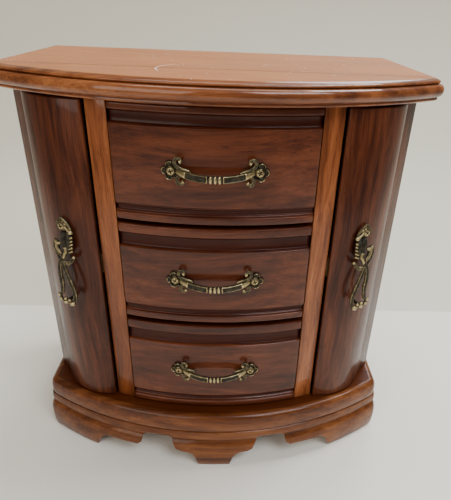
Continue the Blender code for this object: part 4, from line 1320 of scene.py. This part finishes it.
class ARMOIRE_OT_screws(bpy.types.Operator):
    """Make the cross-head screws of the pulls."""

    bl_idname = "armoire.screws"
    bl_label = "Screws"

    def execute(self, context):
        half = SCREW_SPACING / 2
        for k, level in enumerate(LEVELS):
            for side, word in SIDES:
                node = f"{level}_drawer_{word}_screw"
                place = (side * half, pull_height(level))
                rings, relief = screw_head(place, 0.5 + 0.9 * k + 0.4 * side)
                skins = [(on_drawer(rings), relief)]
                add_piece(f"{node}_head", skins, "screw_brass", f"{level}_drawer", node)
        for side, word in SIDES:
            node = f"{word}_door_screw"
            rings, relief = screw_head((0.0, door_screw_height(word)), 0.3 + 0.5 * side)
            skins = [(on_door(rings, side), relief)]
            add_piece(f"{node}_head", skins, "screw_brass", f"{word}_door_body", node)
        return {"FINISHED"}


# The necklace rail's place and radius, and its hooks: their count, bend, drop and wire radius.
RAIL_Y = 18.0
RAIL_Z = 272.0
RAIL_RADIUS = 1.7
HOOK_COUNT = 4
HOOK_BEND = 3.2
HOOK_DROP = 8.0
HOOK_WIRE = 0.95


def necklace_rail(node):
    """A round rail along x with hooks: each drops, turns through half a circle and rises to its tip."""
    low, high = node_box(node)
    x = np.linspace(low[0], high[0], 40)
    rail = np.stack([x, np.full(40, RAIL_Y), np.full(40, RAIL_Z)], -1)
    shapes = [swept(rail, RAIL_RADIUS, RAIL_RADIUS, 24)]
    turn = np.linspace(0, math.pi, 24)
    bend_y = HOOK_BEND * np.cos(turn) - HOOK_BEND
    bend_z = -HOOK_BEND * np.sin(turn) - HOOK_DROP
    hook_y = RAIL_Y + np.concatenate([[0, 0], bend_y, [-2 * HOOK_BEND, -2 * HOOK_BEND]])
    hook_z = RAIL_Z + np.concatenate([[0, -HOOK_DROP / 2], bend_z, [-6.6, -5.4]])
    for place in low[0] + (high[0] - low[0]) * np.arange(1, HOOK_COUNT + 1) / (HOOK_COUNT + 1):
        hook = np.stack([np.full(len(hook_y), place), hook_y, hook_z], -1)
        path = smooth_curve(hook, 90)
        shapes.append(hook_bar(path, HOOK_WIRE * rounded_ends(path, 0.9, start=False)))
    return shapes


def hook_bar(path, radius):
    """A round wire along a path that lies in a plane of constant x."""
    along = np.gradient(path, axis=0)
    along /= np.linalg.norm(along, axis=1)[:, None]
    across = np.array([1.0, 0.0, 0.0])
    lift = np.cross(along, across)
    angle = np.linspace(0, 2 * math.pi, 14, endpoint=False)[None, :, None]
    spoke = np.cos(angle) * across + np.sin(angle) * lift[:, None]
    points = path[:, None] + radius[:, None, None] * spoke
    return points, np.full(points.shape[:2], 0.35)


class ARMOIRE_OT_fittings(bpy.types.Operator):
    """Make the necklace rails, and finish the pins and strike plates."""

    bl_idname = "armoire.fittings"
    bl_label = "Fittings"

    def execute(self, context):
        for _, word in SIDES:
            node = f"{word}_necklace_bar"
            rail = necklace_rail(node)
            add_piece(f"{word}_necklace_rail", rail, "antique_brass", "carcass", node)
            for name in ("upper_pivot_pin", "lower_pivot_pin", "strike_plate"):
                dress_node(f"{word}_{name}", "steel")
        return {"FINISHED"}


# ---- stage ----


def floor_finish():
    """A pale painted table, and beyond its edge the tone of the wall. Towards the front and the far sides
    its colour is darkened as painted shade, standing for the dim room.
    """
    finish = Finish("pale_floor")
    place = finish.place()
    x, y, _ = finish.split(place)
    stage = bpy.context.scene.armoire_stage
    soft = finish.noise(place, 3.0, 2.0, 0.5)
    body = finish.mix(y.above(0.1475, 0.1495), tuple(stage.table_colour), tuple(stage.wall_colour))
    body = finish.mix(soft * 0.10, body, shade(stage.table_colour, 0.7))
    # Painted shade: the floor is darkened towards the front and the far sides, standing for the unlit room
    # that the chest reflects.
    dim = shade(stage.wall_colour, (0.34, 0.32, 0.31))
    far_side_shade = (abs(x) - y * 0.55).above(0.60, 1.30)
    body = finish.mix((-y).above(0.45, 1.3), body, dim)
    body = finish.mix(far_side_shade * 0.8, body, dim)
    finish.set(Base_Color=body, Roughness=0.45 + soft * 0.15)
    finish.set(Specular_IOR_Level=0.3)
    return finish.material


# In metres: the flat floor's radius, its curve's radius, the wall's top, and a gap under the feet.
FLOOR_REACH = 1.1
WALL_CURVE = 1.2
WALL_TOP = 2.2
FLOOR_GAP = 0.0002


def floor_mesh():
    """A round floor that curves up into a wall: flat, then a quarter circle, then straight up."""
    turn = np.linspace(0, 0.5 * math.pi, 25)[1:]
    flat = np.linspace(0.02, FLOOR_REACH, 12)
    curve = FLOOR_REACH + WALL_CURVE * np.sin(turn)
    radius = np.concatenate([flat, curve, [FLOOR_REACH + WALL_CURVE]])
    rise = WALL_CURVE * (1 - np.cos(turn))
    height = np.concatenate([np.zeros(len(flat)), rise, [WALL_TOP]]) - FLOOR_GAP
    angle = np.linspace(0, 2 * math.pi, 96, endpoint=False)
    x = radius[:, None] * np.cos(angle)
    y = radius[:, None] * np.sin(angle)
    points = np.stack([x, y, np.broadcast_to(height[:, None], x.shape)], -1).reshape(-1, 3)
    index = np.arange(len(points)).reshape(x.shape)
    after = np.roll(index, -1, axis=1)
    quads = np.stack([index[:-1], index[1:], after[1:], after[:-1]], -1).reshape(-1, 4)
    mesh = bpy.data.meshes.new("floor")
    mesh.from_pydata(points, [], quads.tolist() + [index[0].tolist()])
    mesh.shade_smooth()
    mesh.materials.append(floor_finish())
    return mesh


# Name, place, target, size and colour of each light. Its power is the stage setting of the same name.
LIGHTS = (
    ("key_window", (0.50, -0.75, 1.20), (0.0, 0.0, 0.15), 0.60, (0.88, 0.94, 1.0)),
    ("top_panel", (0.76, 0.22, 1.55), (0.2, 0.0, 0.0), 0.5, (0.97, 0.98, 1.0)),
    ("rear_window", (0.61, 1.39, 1.42), (0.05, 0.0, 0.3), 0.7, (0.86, 0.93, 1.0)),
    ("rear_panel", (0.0, 0.30, 1.60), (0.0, 1.70, 0.1), 1.0, (1.0, 0.98, 0.95)),
    ("fill_panel", (-0.60, -1.05, 0.70), (0.0, 0.0, 0.15), 0.8, (1.0, 0.95, 0.88)),
)


def soft_light(name, place, target, size, strength, tint):
    """A square area light aimed at a point."""
    lamp = bpy.data.lights.new(name, "AREA")
    lamp.shape = "SQUARE"
    lamp.size = size
    lamp.energy = strength
    lamp.color = tint
    holder = bpy.data.objects.new(name, lamp)
    holder.location = place
    aim = Vector(target) - Vector(place)
    holder.rotation_euler = aim.to_track_quat("-Z", "Y").to_euler()
    bpy.context.scene.collection.objects.link(holder)


class ARMOIRE_OT_stage(bpy.types.Operator):
    """Make the floor, the lights and the camera."""

    bl_idname = "armoire.stage"
    bl_label = "Stage"

    def execute(self, context):
        stage = context.scene.armoire_stage
        floor = bpy.data.objects.new("floor", floor_mesh())
        context.scene.collection.objects.link(floor)
        world = bpy.data.worlds.new("soft_room")
        world.use_nodes = True
        background = world.node_tree.nodes["Background"]
        background.inputs["Color"].default_value = (*stage.wall_colour, 1.0)
        background.inputs["Strength"].default_value = stage.room_strength
        context.scene.world = world
        for name, place, target, size, tint in LIGHTS:
            soft_light(name, place, target, size, getattr(stage, name), tint)
        lens = bpy.data.cameras.new("camera")
        lens.lens = stage.focal_length
        lens.sensor_width = 36.0
        lens.shift_x, lens.shift_y = CAMERA_SHIFT
        lens.clip_start = 0.01
        lens.clip_end = 50.0
        camera = bpy.data.objects.new("camera", lens)
        camera.location = CAMERA_PLACE
        camera.rotation_euler = tuple(math.radians(angle) for angle in CAMERA_TURN)
        context.scene.collection.objects.link(camera)
        context.scene.camera = camera
        return {"FINISHED"}


# The camera's place in metres, its tilt from straight down, roll and heading in degrees, and its shift.
CAMERA_PLACE = (0.0087, -0.3598, 0.3418)
CAMERA_TURN = (61.300, -2.185, -1.696)
CAMERA_SHIFT = (-0.0476, 0.0298)


class ARMOIRE_PT_pieces(bpy.types.Panel):
    """Lists the makers of the armoire's pieces and their settings."""

    bl_label = "Jewelry armoire"
    bl_idname = "ARMOIRE_PT_pieces"
    bl_space_type = "VIEW_3D"
    bl_region_type = "UI"
    bl_category = "Armoire"

    def draw(self, context):
        column = self.layout.column()
        for operator in OPERATORS:
            column.operator(operator.bl_idname, text=operator.bl_label)
        scene = context.scene
        for group in (scene.armoire_sizes, scene.armoire_colours, scene.armoire_stage):
            for key in group.__annotations__:
                column.prop(group, key)


OPERATORS = (
    ARMOIRE_OT_top_and_base,
    ARMOIRE_OT_frame,
    ARMOIRE_OT_doors,
    ARMOIRE_OT_drawers,
    ARMOIRE_OT_linings,
    ARMOIRE_OT_drawer_pulls,
    ARMOIRE_OT_door_pulls,
    ARMOIRE_OT_screws,
    ARMOIRE_OT_fittings,
    ARMOIRE_OT_stage,
)
CLASSES = (ArmoireSizes, ArmoireColours, StageSettings, *OPERATORS, ARMOIRE_PT_pieces)


def register():
    for made in CLASSES:
        bpy.utils.register_class(made)
    bpy.types.Scene.armoire_sizes = PointerProperty(type=ArmoireSizes)
    bpy.types.Scene.armoire_colours = PointerProperty(type=ArmoireColours)
    bpy.types.Scene.armoire_stage = PointerProperty(type=StageSettings)


def unregister():
    del bpy.types.Scene.armoire_stage
    del bpy.types.Scene.armoire_colours
    del bpy.types.Scene.armoire_sizes
    for made in reversed(CLASSES):
        bpy.utils.unregister_class(made)


def main():
    """Makes every piece in turn."""
    register()
    for operator in OPERATORS:
        family, name = operator.bl_idname.split(".")
        getattr(getattr(bpy.ops, family), name)()


if __name__ == "__main__":
    main()
